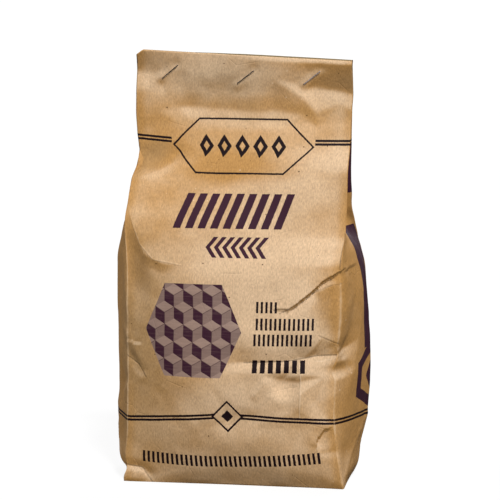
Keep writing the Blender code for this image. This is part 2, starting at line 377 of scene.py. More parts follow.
def crease(path, left, right):
    """A crease along a line. left and right are (height, reach) of its two flanks."""
    signed, along = beside(path)
    (left_height, left_reach), (right_height, right_reach) = left, right
    flank = np.where(
        signed >= 0.0,
        left_height * np.clip(1.0 - signed / left_reach, 0.0, None) ** FLANK_POWER,
        right_height * np.clip(1.0 + signed / right_reach, 0.0, None) ** FLANK_POWER,
    )
    return flank * fade_ends(along, CREASE_FADE)


def rub(path, reach):
    """Where a crease has been rubbed pale: 1 on the line and 0 beside it."""
    signed, along = beside(path)
    return np.clip(1.0 - np.abs(signed) / reach, 0.0, None) * fade_ends(along, RUB_FADE)


def outward(points):
    """Unit normals of the grid, pointing out of the bag."""
    down_rows = np.gradient(points, axis=0)
    round_bag = np.gradient(points, axis=1)
    normal = np.cross(round_bag, down_rows)
    return normal / np.maximum(np.linalg.norm(normal, axis=2, keepdims=True), 1e-12)


print("tools for creases are ready")

# %% [markdown]
# ## What handling has left
#
# Each mark on the front and the right gusset is read from the photograph and written in sheet
# measures. Those on the hidden sides are made up in the same way. First come the soft
# hollows and swellings. Then come creases with two flanks: where both flanks have the same height
# the crease is a ridge or a valley, and where they differ one side stands over the other.

# %% Marks: hollows and swellings
# across, up, wide, tall, turn in degrees, height
SWELLINGS = [
    (-0.0575, 0.123, 0.011, 0.03, 8, -0.0028), (-0.0545, 0.1865, 0.024, 0.011, 8, -0.0022),
    (-0.052, 0.212, 0.018, 0.012, 0, -0.001), (0.034, 0.06, 0.011, 0.009, 0, -0.0017),
    (-0.059, 0.002, 0.011, 0.009, 0, 0.0011), (0.056, 0.1, 0.012, 0.022, -10, -0.0014),
    (0.0, 0.126, 0.045, 0.016, 0, 0.001), (-0.02, 0.098, 0.03, 0.02, 12, -0.0012),
    (0.01, 0.09, 0.016, 0.012, -25, 0.0008), (-0.03, 0.05, 0.022, 0.018, 20, -0.0009),
    (0.01, 0.028, 0.03, 0.014, 0, 0.0009), (0.04, 0.165, 0.022, 0.018, 0, 0.0012),
    (-0.015, 0.175, 0.026, 0.014, 10, -0.001), (0.056, 0.031, 0.008, 0.009, -35, -0.0008),
    (-0.024, 0.08, 0.044, 0.095, 0, 0.003), (0.066, 0.106, 0.016, 0.03, 0, 0.002),
    (0.165, 0.1, 0.03, 0.04, 20, -0.0022), (0.18, 0.152, 0.03, 0.014, 10, -0.0014),
    (-0.17, 0.06, 0.03, 0.03, 0, 0.0014), (-0.16, 0.138, 0.022, 0.025, -20, -0.0018),
]


def add_patches(places):
    """Adds up soft patches, each given by its oval and then its height or strength."""
    return sum(strength * round_patch(*oval) for *oval, strength in places)


print(len(SWELLINGS), "hollows and swellings")


# %% Marks: creases and rubbed lines
# Each path is a list of places on the flat sheet, as (across, up).
SHOULDER_RIDGE = [
    (-0.064, 0.1628), (-0.0603, 0.1564), (-0.0566, 0.149), (-0.054, 0.1404), (-0.0508, 0.1351),
    (-0.0455, 0.1319), (-0.0392, 0.1298), (-0.029, 0.129),
]
LONG_CREASE = [
    (0.0296, 0.103), (0.0339, 0.1043), (0.0381, 0.1074), (0.0434, 0.1117), (0.0487, 0.116),
    (0.054, 0.1213), (0.0593, 0.1245), (0.0635, 0.1272), (0.069, 0.1282),
]
WAIST = [
    (-0.01, 0.0735), (0.0095, 0.0745), (0.0212, 0.0742), (0.0349, 0.0755), (0.0423, 0.0772),
    (0.0529, 0.0785), (0.0635, 0.079), (0.0729, 0.0819), (0.086, 0.086),
]
CORNER_TUCK = [
    (-0.068, 0.0105), (-0.0624, 0.0096), (-0.054, 0.0085), (-0.0487, 0.0043), (-0.047, 0.0),
]
WAIST_FOLD = [(0.0434, 0.043), (0.0434, 0.0555), (0.0434, 0.0638), (0.042, 0.074)]
BASE_FOLD = [(0.065, 0.001), (0.101, 0.0375), (0.137, 0.001)]


def mirrored(path):
    return [(-across, up) for across, up in path]


# path, (height, reach) of the left flank, (height, reach) of the right flank
CREASES = [
    (SHOULDER_RIDGE, (0.0016, 0.016), (0.0016, 0.006)),
    (LONG_CREASE, (0.0018, 0.012), (-0.0009, 0.007)),
    ([(0.064, 0.1262), (0.0744, 0.1275), (0.0901, 0.1275)], (0.0005, 0.005), (-0.0004, 0.005)),
    ([(0.0487, 0.1149), (0.054, 0.117), (0.0582, 0.1191), (0.064, 0.1202)], (0.0007, 0.003),
     (0.0007, 0.007)),
    ([(0.026, 0.1052), (0.031, 0.1056), (0.0355, 0.1053)], (0.0005, 0.004), (-0.0007, 0.006)),
    (WAIST, (-0.0018, 0.01), (-0.0018, 0.006)), (WAIST_FOLD, (0.0009, 0.007), (0.0009, 0.01)),
    ([(0.0138, 0.053), (0.02, 0.06), (0.023, 0.066)], (0.0006, 0.004), (0.0006, 0.006)),
    ([(0.0515, 0.024), (0.0529, 0.0298), (0.0575, 0.0355), (0.063, 0.0372)], (0.0007, 0.009),
     (-0.0007, 0.009)),
    ([(0.052, 0.0215), (0.0593, 0.0222), (0.066, 0.0236)], (-0.0005, 0.006), (-0.0005, 0.004)),
    ([(-0.0651, 0.0843), (-0.0584, 0.0833), (-0.052, 0.0833)], (-0.0005, 0.006), (0.0004, 0.006)),
    ([(-0.0651, 0.0755), (-0.0599, 0.0745), (-0.0556, 0.0706), (-0.0505, 0.0637)],
     (-0.0009, 0.005), (-0.0009, 0.005)),
    ([(0.14, 0.131), (0.16, 0.121), (0.185, 0.117)], (0.0011, 0.01), (-0.0008, 0.008)),
    ([(-0.142, 0.083), (-0.16, 0.093), (-0.178, 0.106)], (-0.001, 0.008), (-0.001, 0.006)),
    ([(-0.145, 0.15), (-0.166, 0.14), (-0.188, 0.138)], (0.001, 0.012), (-0.0007, 0.008)),
    ([(0.15, 0.042), (0.165, 0.05), (0.172, 0.065)], (0.0008, 0.007), (0.0008, 0.009)),
    ([(0.101, 0.0), (0.101, 0.0375), (0.101, 0.135)], (0.0006, 0.004), (0.0006, 0.004)),
    ([(-0.101, 0.0), (-0.101, 0.0375), (-0.101, 0.145)], (0.0006, 0.004), (0.0006, 0.004)),
    (BASE_FOLD, (0.0005, 0.004), (0.0005, 0.004)),
    (mirrored(BASE_FOLD), (0.0005, 0.004), (0.0005, 0.004)),
    (CORNER_TUCK, (-0.001, 0.006), (-0.001, 0.003)),
]
# path, reach, strength
RUBS = [
    ([(-0.0635, 0.16), (-0.0635, 0.1245), (-0.063, 0.0904), (-0.0635, 0.0362),
     (-0.0635, 0.01)], 0.0014, 0.8),
    (SHOULDER_RIDGE, 0.0016, 0.6),
    ([(0.0638, 0.125), (0.0638, 0.1138), (0.0638, 0.0926), (0.064, 0.081)], 0.0014, 0.9),
    ([(0.064, 0.074), (0.0638, 0.0404), (0.0637, 0.028)], 0.0014, 0.9),
    ([(0.0637, 0.036), (0.0635, 0.0245), (0.063, -0.006)], 0.0012, 0.5), (WAIST_FOLD, 0.001, 0.5),
    ([(0.044, 0.0765), (0.0548, 0.0755), (0.0635, 0.0775)], 0.001, 0.9),
    ([(0.0563, 0.0882), (0.0606, 0.0853), (0.0635, 0.0833)], 0.0009, 0.7),
    ([(-0.0651, 0.0843), (-0.052, 0.0833)], 0.0009, 0.4),
    ([(0.0381, 0.1086), (0.0434, 0.1127), (0.0487, 0.117)], 0.001, 0.7),
    ([(-0.0635, 0.248), (-0.0635, 0.21)], 0.001, 0.6), ([(0.101, 0.0), (0.101, 0.14)], 0.0009, 0.6),
    ([(-0.101, 0.0), (-0.101, 0.15)], 0.0009, 0.6), ([(0.1385, 0.002), (0.1385, 0.23)], 0.001, 0.6),
    ([(-0.1385, 0.002), (-0.1385, 0.23)], 0.001, 0.6), (BASE_FOLD, 0.0008, 0.45),
    (mirrored(BASE_FOLD), 0.0008, 0.45),
]


def marks():
    """The height of every crease together, and how rubbed the paper is."""
    lifted = np.zeros_like(ACROSS_GRID)
    worn = np.zeros_like(ACROSS_GRID)
    for path, left, right in CREASES:
        lifted += crease(path, left, right)
    for path, reach, strength in RUBS:
        worn = np.maximum(worn, strength * rub(path, reach))
    return lifted, worn


print(len(CREASES), "creases and", len(RUBS), "rubbed lines")

# %% Marks: flat facets between creases
# across, up, height of the corners; a facet lies flat between each three of them
WAIST_FACETS = [
    (0.015, 0.1, 0.0), (0.064, 0.1, 0.0), (0.011, 0.036, 0.0), (0.064, 0.036, 0.0),
    (0.006, 0.07, 0.0), (0.0555, 0.09, 0.0006), (0.064, 0.0855, 0.0002), (0.051, 0.0795, -0.001),
    (0.0635, 0.0775, 0.0004), (0.044, 0.0765, 0.0005), (0.0635, 0.0735, -0.0003),
    (0.0425, 0.0685, 0.0006), (0.032, 0.0645, -0.0013), (0.021, 0.0675, 0.0003),
    (0.0415, 0.0635, -0.0006), (0.042, 0.047, 0.0006), (0.0435, 0.057, 0.0008),
    (0.031, 0.054, 0.0004), (0.0575, 0.0665, -0.0002), (0.0525, 0.052, -0.0005),
    (0.018, 0.046, -0.0003),
]
LEFT_FACETS = [
    (-0.076, 0.096, 0.0), (-0.04, 0.098, 0.0), (-0.036, 0.056, 0.0), (-0.076, 0.05, 0.0),
    (-0.06, 0.0845, 0.0006), (-0.062, 0.0775, -0.0008), (-0.055, 0.0745, 0.0005),
    (-0.059, 0.0695, -0.0007), (-0.051, 0.0635, 0.0004), (-0.053, 0.0875, 0.0001),
]
SHOULDER_FACETS = [
    (-0.09, 0.204, 0.0), (-0.062, 0.206, 0.0), (-0.038, 0.202, 0.0), (-0.026, 0.19, 0.0),
    (-0.036, 0.172, 0.0), (-0.064, 0.162, 0.0), (-0.09, 0.172, 0.0), (-0.066, 0.1935, 0.0004),
    (-0.057, 0.1925, 0.001), (-0.045, 0.191, 0.0008), (-0.04, 0.1865, -0.0008),
    (-0.05, 0.1815, -0.001), (-0.059, 0.177, -0.0004), (-0.066, 0.1735, 0.0),
]
GUSSET_FACETS = [
    (0.064, 0.134, 0.0), (0.098, 0.136, 0.0), (0.064, 0.005, 0.0), (0.098, 0.005, 0.0),
    (0.07, 0.12, 0.0004), (0.082, 0.118, -0.0006), (0.092, 0.112, 0.0006), (0.075, 0.098, -0.0004),
    (0.088, 0.095, 0.0008), (0.07, 0.081, -0.0014), (0.084, 0.086, 0.0004), (0.094, 0.08, -0.0004),
    (0.076, 0.066, 0.0008), (0.09, 0.06, -0.0005), (0.07, 0.045, 0.0004), (0.085, 0.04, -0.0007),
    (0.095, 0.03, 0.0003), (0.075, 0.022, -0.0005), (0.088, 0.012, 0.0004), (0.064, 0.08, 0.0),
    (0.064, 0.105, 0.0),
]
# the left gusset has the corners of the right one, upside down and shallower
TURNED_AT, TURNED_SHARE = 0.140, 0.7
LEFT_GUSSET_FACETS = [(-a, TURNED_AT - u, TURNED_SHARE * height) for a, u, height in GUSSET_FACETS]
FACET_GROUPS = [WAIST_FACETS, LEFT_FACETS, SHOULDER_FACETS, GUSSET_FACETS, LEFT_GUSSET_FACETS]
print(sum(len(spots) for spots in FACET_GROUPS), "corners of facets")

# %% [markdown]
# ## Faded paper with painted sheen, and painted shade
#
# The front is painted paler where it bulges most. Part of this is fading where hands, other bags
# and cement dust touch it, and part is a painted sheen where light falls on it. Elsewhere the
# golden brown is painted greyer and darker, a painted shade. Both are kept as numbers between 0
# and 1 for every spot, added up from soft, broad patches.

# %% Faded and sheen patches, and painted shade patches
# across, up, wide, tall, turn in degrees, strength
FADED_AND_SHEEN_PATCHES = [
    (0.01, 0.13, 0.075, 0.055, 0, 0.6), (0.035, 0.085, 0.065, 0.06, 0, 0.68),
    (0.038, 0.175, 0.055, 0.035, 0, 0.48), (-0.01, 0.238, 0.11, 0.03, 0, 0.58),
    (0.01, 0.035, 0.1, 0.04, 0, 0.25), (0.01, 0.006, 0.1, 0.024, 0, 0.22),
    (0.062, 0.235, 0.03, 0.01, 0, -0.2), (-0.055, 0.208, 0.03, 0.013, 0, -0.15),
    (-0.055, 0.189, 0.026, 0.014, 43, -0.65), (0.0, 0.185, 0.05, 0.013, 0, -0.45),
    (-0.005, 0.052, 0.035, 0.018, 0, 0.35), (-0.052, 0.09, 0.03, 0.1, 0, -0.1),
    (0.058, 0.108, 0.018, 0.035, 0, -0.5),
]
# the whole front is painted a little paler: part fading, part painted sheen
FRONT_FADED_AND_SHEEN = 0.30
# painted shade: greyer, darker paper on the left of the front, in hollows of the mouth and on the
# back
PAINTED_SHADE_PATCHES = [
    (-0.056, 0.085, 0.04, 0.085, 0, 0.4), (-0.083, 0.09, 0.02, 0.11, 0, -0.35),
    (-0.045, 0.028, 0.04, 0.024, 0, 0.14), (-0.012, 0.233, 0.05, 0.022, 0, 0.3),
    (0.06, 0.235, 0.035, 0.016, 0, 0.3), (-0.055, 0.189, 0.022, 0.012, 43, 0.3),
    (0.0, 0.212, 0.06, 0.01, 0, 0.25), (0.056, 0.218, 0.022, 0.012, 0, 0.22),
    (-0.056, 0.243, 0.02, 0.012, 0, 0.12), (0.05, 0.09, 0.02, 0.03, -30, 0.15),
    (0.165, 0.06, 0.06, 0.06, 0, 0.25), (-0.17, 0.15, 0.05, 0.05, 0, 0.25),
]
FRONT_INSET = 0.004
FRONT_EASE = 0.006
ON_FRONT = smooth((HALF_PANEL - FRONT_INSET - np.abs(ACROSS_GRID)) / FRONT_EASE + 0.5)
# paleness of each spot: fading from handling together with a painted sheen
FADED_AND_SHEEN = FRONT_FADED_AND_SHEEN * ON_FRONT + add_patches(FADED_AND_SHEEN_PATCHES)
PAINTED_SHADE_MAP = np.clip(add_patches(PAINTED_SHADE_PATCHES), 0.0, 1.0)
print("faded over", round(float((FADED_AND_SHEEN > 0.3).mean()) * 100), "% of the sheet")

# %% [markdown]
# ## The paper's own restlessness
#
# Kraft paper that has been filled and carried is never quite flat. Many small facets at random
# give that, in two sizes, and a third and larger size makes the back livelier. They are
# seeded, so the bag comes out the same each time. Near the mouth the four plies lie close
# together, so the random part fades away there.

# %% Small random facets
SEED = 7
JITTER = 0.42


def crumple(spacing, height, seed):
    """Random facets over the whole sheet, with corners about one spacing apart."""
    chance = np.random.default_rng(seed)
    left, right = ACROSS[0] - spacing, ACROSS[-1] + spacing
    spots = []
    for across in np.arange(left, right + spacing, spacing):
        for up in np.arange(-spacing, HEIGHT + 2 * spacing, spacing):
            shift = chance.uniform(-JITTER, JITTER, 2) * spacing
            spots.append((across + shift[0], up + shift[1], chance.normal() * height))
    return facets(spots)


# spacing and height of each size
FRONT_SIZES = [(0.019, 0.0003), (0.007, 0.00009)]
BACK_SIZE = (0.023, 0.0006)
BACK_FROM = 0.108
BACK_EASE = 0.03
CALM_SHARE = 0.85
CALM_FROM = 0.15
CALM_EASE = 0.05
BEHIND = smooth((np.abs(ACROSS_GRID) - BACK_FROM) / BACK_EASE)
BUCKLES = sum(crumple(*size, SEED + i) for i, size in enumerate(FRONT_SIZES))
BUCKLES = BUCKLES + BEHIND * crumple(*BACK_SIZE, SEED + 3)
BUCKLES = BUCKLES * (1.0 - CALM_SHARE * smooth((UP_GRID - CALM_FROM) / CALM_EASE))
print("random buckles reach", round(float(np.abs(BUCKLES).max()) * 1000, 2), "mm")

# %% [markdown]
# ## The pressed mouth
#
# Above the load all four plies move as one stiff strip, so its waves are written by place in
# space and shift every ply alike. Near a staple the strip is clamped flat, which also keeps the
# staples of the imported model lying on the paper.

# %% Facets of the mouth
# x, z, shift towards the back; the corners at the staples stay where they are
MOUTH_FACETS = [
    (-0.068, 0.252, -0.0003), (-0.05, 0.252, -0.001), (-0.039, 0.252, -0.0014),
    (-0.028, 0.252, -0.001), (-0.0163, 0.252, -0.0002), (-0.005, 0.252, -0.0016),
    (0.0176, 0.2485, -0.0008), (0.0346, 0.247, -0.0004), (0.05, 0.247, -0.0002),
    (0.068, 0.247, 0.0), (0.0176, 0.244, -0.0011), (0.0346, 0.244, -0.0011),
    (0.05, 0.2436, -0.0013), (0.068, 0.243, -0.0014), (-0.068, 0.238, 0.0026),
    (-0.06, 0.237, 0.0022), (-0.051, 0.2353, 0.0014), (-0.0437, 0.237, 0.0003),
    (-0.0397, 0.242, -0.0008), (-0.03, 0.2345, -0.0001), (-0.022, 0.234, -0.0004),
    (-0.016, 0.236, -0.0006), (-0.01, 0.229, 0.0008), (0.001, 0.2345, -0.0002),
    (0.0176, 0.2335, -0.0004), (0.0346, 0.2299, 0.0007), (0.043, 0.2286, 0.0022),
    (0.056, 0.2268, 0.0029), (0.068, 0.2245, 0.0038), (-0.068, 0.2259, -0.0001),
    (-0.055, 0.2262, 0.0003), (-0.046, 0.225, 0.0004), (-0.0345, 0.2262, 0.0006),
    (-0.02, 0.226, 0.0006), (0.0346, 0.2232, -0.0007), (0.056, 0.22, 0.0009),
    (-0.039, 0.2165, 0.0012), (-0.0315, 0.2165, 0.0022), (-0.02, 0.216, 0.0018),
    (-0.005, 0.215, 0.0026), (0.008, 0.214, 0.0014), (0.0176, 0.215, 0.0024),
    (0.0346, 0.2133, 0.0006), (0.043, 0.2142, -0.0008), (0.068, 0.215, -0.0004),
    (-0.068, 0.216, 0.0), (-0.052, 0.215, 0.0), (-0.04, 0.2085, 0.0), (-0.03, 0.21, 0.0),
    (-0.015, 0.2065, 0.0), (0.005, 0.2055, 0.0), (0.025, 0.2055, 0.0), (0.045, 0.2055, 0.0),
    (0.068, 0.206, 0.0), (-0.068, 0.206, 0.0),
]
# lower and upper end of each staple, in x and z
STAPLE_LINES = [
    (-0.0488, 0.2332, -0.04, 0.2411), (-0.004, 0.2303, 0.006, 0.2388),
    (0.0348, 0.2303, 0.045, 0.2388),
]
STAPLE_CALM = 0.0030
MOUTH_DEPTH = 1.15
MOUTH_CURL = 0.0007
MOUTH_CURL_FROM = 0.0024
CURL_EASE = 0.03
# spacing and height of the small waves, and where they begin
SMALL_WAVES = (0.011, 0.00018)
SMALL_FROM = 0.2
SMALL_EASE = 0.012


def read_front(grid, x, z):
    """Reads a grid at places on the front, between its rows and columns."""
    column = np.interp(x, ACROSS, np.arange(len(ACROSS)))
    row = np.clip(z / HEIGHT, 0.0, 1.0) * (ROWS - 1)
    c = np.minimum(column.astype(int), len(ACROSS) - 2)
    r = np.minimum(row.astype(int), ROWS - 2)
    u, v = column - c, row - r
    low = (1 - u) * grid[r, c] + u * grid[r, c + 1]
    return (1 - v) * low + v * ((1 - u) * grid[r + 1, c] + u * grid[r + 1, c + 1])


def mouth_shift(points):
    """Shift towards the back of every point, from its x and z."""
    x, z = points[:, :, 0], points[:, :, 2]
    small = crumple(*SMALL_WAVES, SEED + 2) * smooth((UP_GRID - SMALL_FROM) / SMALL_EASE)
    shift = read_front(MOUTH_DEPTH * facets(MOUTH_FACETS) + small, x, z)
    for x0, z0, x1, z1 in STAPLE_LINES:
        share = ((x - x0) * (x1 - x0) + (z - z0) * (z1 - z0)) / ((x1 - x0) ** 2 + (z1 - z0) ** 2)
        share = np.clip(share, 0.0, 1.0)
        far = np.hypot(x - x0 - share * (x1 - x0), z - z0 - share * (z1 - z0))
        shift *= 1.0 - np.exp(-(far / STAPLE_CALM) ** 2)
    curl = smooth((z - cut_edge(x) + MOUTH_CURL_FROM) / MOUTH_CURL_FROM)
    return shift + MOUTH_CURL * curl * smooth(x / CURL_EASE + 0.5)


print(len(MOUTH_FACETS), "corners in the mouth")

# %% [markdown]
# ## The glued seam
#
# The tube is closed down the middle of the back, where one edge of the sheet is glued over the
# other. The two plies share the same buckles there, and the outer one stands off by the glue
# and the paper, so that its cut edge catches the light as a fine line.

# %% Lay one edge of the sheet over the other
SEAM_LIFT = 0.00045
SEAM_EASE = 0.018
SEAM_EDGE = 0.004


def matched_seam(grid):
    """Gives the outer ply of the seam the same heights as the ply beneath it."""
    beneath = np.clip(ACROSS - 2 * HALF_AROUND, ACROSS[0], None)
    under = np.array([np.interp(beneath, ACROSS, row) for row in grid])
    share = smooth((ACROSS_GRID - HALF_AROUND + SEAM_EASE) / SEAM_EASE)
    return grid * (1.0 - share) + under * share


def seam_step():
    return SEAM_LIFT * smooth((ACROSS_GRID - HALF_AROUND + SEAM_EDGE) / SEAM_EDGE)


print("the seam overlaps by", SEAM_OVERLAP, "m")

# %% [markdown]
# ## The bottom, the painted facing light and the tugs
#
# The front turns under a little where it meets the base fold. The paper is painted paler where
# it faces up more than the paper round it, and less pale where it faces up less. This painted
# highlight and painted shade draw the facets. Tugs shift a spot of the sheet bodily, and make
# the nicks that show in the bag's outline.

# %% Turn, painted facing light and tug
UNDERTURN = 0.0016
UNDERTURN_EASE = 0.012
# up, across: how high the turn reaches at each place
UNDERTURN_LINE = [
    (0.0, -0.064), (0.001, -0.05), (0.008, -0.0307), (0.013, -0.01), (0.015, 0.005),
    (0.013, 0.0286), (0.009, 0.0519), (0.003, 0.064),
]
# strength of the painted highlight on facets that face up more than those round them, and of the
# painted shade on those that face up less
FACING_LIGHT_PAINT = 1.3
FACING_LIGHT_REACH = 14
# across, up, wide, tall, shift in x
TUGS = [(0.064, 0.07, 0.016, 0.006, -0.002), (0.064, 0.08, 0.01, 0.0045, 0.0011)]


def underturn():
    """How far the bottom of the front turns under, towards the base fold."""
    tops, places = zip(*UNDERTURN_LINE)
    line = np.interp(ACROSS_GRID, places, tops, left=0.0, right=0.0)
    share = np.clip(1.0 - UP_GRID / np.maximum(line, 1e-6), 0.0, 1.0) * (line > 1e-5)
    return -UNDERTURN * share ** 1.5 * np.clip(line / UNDERTURN_EASE, 0.0, 1.0)


def faces_up_more(points):
    """How much more each spot faces up than the paper round it."""
    facing = outward(points)[:, :, 2]
    return facing - soften(facing, FACING_LIGHT_REACH)


print("the bottom turns under by", UNDERTURN, "m and has", len(TUGS), "tugs above it")

# %% [markdown]
# ## Putting the shape together
#
# All heights add up and lift the sheet along its own outward direction. They fade out in the
# pressed mouth, and shrink to a quarter at the base fold, which is stiff.

# %% Lift and shift the sheet
BASE_SHARE = 0.35
BASE_EASE = 0.004
PRESSED_FROM = 0.196
PRESSED_EASE = 0.014

LIFT, WEAR = marks()
LIFT = LIFT + add_patches(SWELLINGS) + sum(facets(spots, blur=0) for spots in FACET_GROUPS)
LIFT = matched_seam(LIFT + BUCKLES) + seam_step()
LIFT = LIFT * smooth(UP_GRID / BASE_EASE + BASE_SHARE)
LIFT = LIFT * (1.0 - smooth((UP_GRID - PRESSED_FROM) / PRESSED_EASE)) + underturn()
SHEET = SHEET + outward(SHEET) * LIFT[:, :, None]
SHEET[:, :, 1] += mouth_shift(SHEET)
SHEET[:, :, 0] += add_patches([(*oval, 0.0, shift) for *oval, shift in TUGS])
SHEET[:, :, 2] = np.maximum(SHEET[:, :, 2], 0.0)
# painted highlight and painted shade by how much each facet faces up, added to the paleness
FADED_AND_SHEEN = np.clip(FADED_AND_SHEEN + FACING_LIGHT_PAINT * faces_up_more(SHEET), 0.0, 1.0)
print("creased sheet spans", SHEET.min(axis=(0, 1)).round(4), SHEET.max(axis=(0, 1)).round(4))

# %% [markdown]
# ## From grid to mesh
#
# The grid turns into faces row by row. At the mouth each ply turns over its cut edge, so the
# paper shows a thickness there. The flat place of every corner goes into a UV map, so that the
# print can be drawn as it lies on the sheet. How rubbed each spot is, how faded and painted with
# sheen, and how much painted shade it has go along as three numbers.

# %% Walls and mouth
MOUTH_ROWS = 3
LIP_STEP = 3
INSIDE = -1.0  # the wear that marks the inside lip, which is painted dark as shade


def grid_faces(rows, columns, first=0):
    """Corner numbers of the faces of a grid of points."""
    index = first + np.arange(rows * columns).reshape(rows, columns)
    corners = [index[:-1, :-1], index[:-1, 1:], index[1:, 1:], index[1:, :-1]]
    return np.stack(corners, axis=-1).reshape(-1, 4)


def mouth_lip(points):
    """Rows that turn over the cut edge and run down inside the bag, along the same waves."""
    inward = -outward(points)
    inward[:, :, 2] = 0.0
    inward /= np.maximum(np.linalg.norm(inward, axis=2, keepdims=True), TINY)
    return (points + inward * PAPER)[-1 : -1 - LIP_STEP * MOUTH_ROWS : -LIP_STEP]


def walls():
    """The walls and the mouth: points, flat places, and for each spot its wear, its fading and
    painted sheen, and its painted shade.
    """
    grids = [SHEET, np.dstack([ACROSS_GRID, UP_GRID]), WEAR, FADED_AND_SHEEN, PAINTED_SHADE_MAP]
    lips = [mouth_lip(SHEET), *(np.repeat(grid[-1:], MOUTH_ROWS, axis=0) for grid in grids[1:])]
    # the inside lip gets the wear that paints it dark as shade
    lips[2][:] = INSIDE
    return [np.concatenate(pair) for pair in zip(grids, lips)]


print("walls make", np.prod(np.array(walls()[0].shape[:2]) - 1), "faces")

# %% [markdown]
# ## The folded base
#
# Underneath, the tube is closed like a parcel: the sides fold in first, and then a front and a
# back flap fold over them and are glued. Each flap is its own thin patch of faces between four
# edges. They lie a paper's thickness apart, which is enough to see their outlines from below.

# %% Fold the base
BASE_LIFT = 0.0009
FLAP_REACH = 0.62
FLAP_TAPER = 0.10
BASE_ROWS = 20
RIM_SHARE = 0.06
FLAP_EASE = 0.08
# how far up each flap lies, as a share of the lift
INNER_LAYER = 0.5
OUTER_LAYER = 0.15


def between_edges(front, right, back, left):
    """Points inside four edges: front and back run left to right, the sides front to back."""
    u = np.linspace(0.0, 1.0, len(front))[None, :, None]
    v = np.linspace(0.0, 1.0, len(left))[:, None, None]
    across = (1 - v) * front[None] + v * back[None]
    along = (1 - u) * left[:, None] + u * right[:, None]
    corners = (1 - u) * (1 - v) * front[0] + u * (1 - v) * front[-1]
    corners = corners + (1 - u) * v * back[0] + u * v * back[-1]
    return across + along - corners


def rim_between(start, end, count):
    """Points on the lowest row of the sheet, from one flat place to another."""
    places = np.linspace(start, end, count)
    rim = [np.interp(places, ACROSS, SHEET[0, :, axis]) for axis in range(3)]
    return np.stack(rim, axis=1)


def sunk(points, depth):
    """Lifts the inside of a patch off the floor, and leaves its rim where it is."""
    u = np.linspace(0.0, 1.0, points.shape[1])[None, :]
    v = np.linspace(0.0, 1.0, points.shape[0])[:, None]
    inside = np.clip(np.minimum(np.minimum(u, 1 - u), np.minimum(v, 1 - v)) / RIM_SHARE, 0.0, 1.0)
    lifted = points.copy()
    lifted[:, :, 2] = depth * smooth(inside)
    return lifted


def flap(fold, far, depth):
    """A glued flap: from its fold towards the far side, a little narrower at its free end."""
    free = fold + FLAP_REACH * (far - fold)
    middle = free.mean(axis=0)
    free = middle + (free - middle) * (1.0 - FLAP_TAPER)
    share = np.linspace(0.0, 1.0, BASE_ROWS)[:, None, None]
    points = (1 - share) * fold[None] + share * free[None]
    points[:, :, 2] = depth * smooth(share[:, :, 0] / FLAP_EASE)
    return points


def base_sheets():
    """The floor of the bag and its two flaps, each as a grid of points seen from below."""
    back_at = HALF_PANEL + GUSSET_WIDTH
    front = rim_between(-HALF_PANEL, HALF_PANEL, FRONT_COLUMNS + 1)
    right = rim_between(HALF_PANEL, back_at, BASE_ROWS)
    left = rim_between(-HALF_PANEL, -back_at, BASE_ROWS)
    half = FRONT_COLUMNS // 2 + 1
    back_left = rim_between(-back_at, -HALF_AROUND, half)
    back_right = rim_between(HALF_AROUND, back_at, half)
    back = np.concatenate([back_left, back_right[1:]])
    floor = sunk(between_edges(front, right, back, left), BASE_LIFT)
    inner = flap(front, back, INNER_LAYER * BASE_LIFT)
    outer = flap(back, front, OUTER_LAYER * BASE_LIFT)[:, ::-1]
    return [floor, inner, outer]


print("the base has", len(base_sheets()), "layers")

# %% [markdown]
# ## One mesh for the whole bag
#
# Walls, mouth and base go into one mesh, because they are one piece of paper.

# %% Build the paper bag
# wear, then fading with painted sheen, then painted shade
NUMBERS = ("wear", "faded_and_sheen", "painted_shade")
BASE_PLACE = -0.1  # the base lies this far below the print on the flat sheet


def paper_mesh(name, sheets):
    """One smooth mesh from grids of points, flat places and the three numbers of each spot."""
    points, faces, places = [], [], []
    numbers = {title: [] for title in NUMBERS}
    for grid, place, *layers in sheets:
        faces.append(grid_faces(*grid.shape[:2], first=sum(len(part) for part in points)))
        points.append(grid.reshape(-1, 3))
        places.append(place.reshape(-1, 2))
        for title, layer in zip(NUMBERS, layers):
            numbers[title].append(layer.ravel())
    data = bpy.data.meshes.new(name)
    data.from_pydata(np.concatenate(points).tolist(), [], np.concatenate(faces).tolist())
    loops = np.zeros(len(data.loops), dtype=np.int32)
    data.loops.foreach_get("vertex_index", loops)
    layer = data.uv_layers.new(name="flat_sheet")
    layer.data.foreach_set("uv", np.concatenate(places)[loops].ravel())
    for title, values in numbers.items():
        layer = data.attributes.new(title, "FLOAT", "POINT")
        layer.data.foreach_set("value", np.concatenate(values))
    data.shade_smooth()
    made = bpy.data.objects.new(name, data)
    bpy.context.collection.objects.link(made)
    return made


def base_parts():
    """Each base sheet with its flat places and no wear."""
    parts = []
    for grid in base_sheets():
        flipped = grid[:, ::-1]
        places = np.dstack([flipped[:, :, 0], flipped[:, :, 1] + BASE_PLACE])
        nothing = np.zeros(grid.shape[:2])
        parts.append((flipped, places, nothing, nothing, nothing))
    return parts


bag = paper_mesh("folded_paper_bag", [walls(), *base_parts()])
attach(bag, "root")
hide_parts("paper_bag")
print(bag.name, "has", len(bag.data.polygons), "faces")

# %% [markdown]
# ## Writing shaders as arithmetic
#
# A Blender material is a graph of nodes. Long sums are easier to read as Python, so one small
# class wraps a node's socket and turns ordinary operators into Math nodes. Any other node comes
# from its method node, which takes the node's type, its settings, and what feeds its inputs.

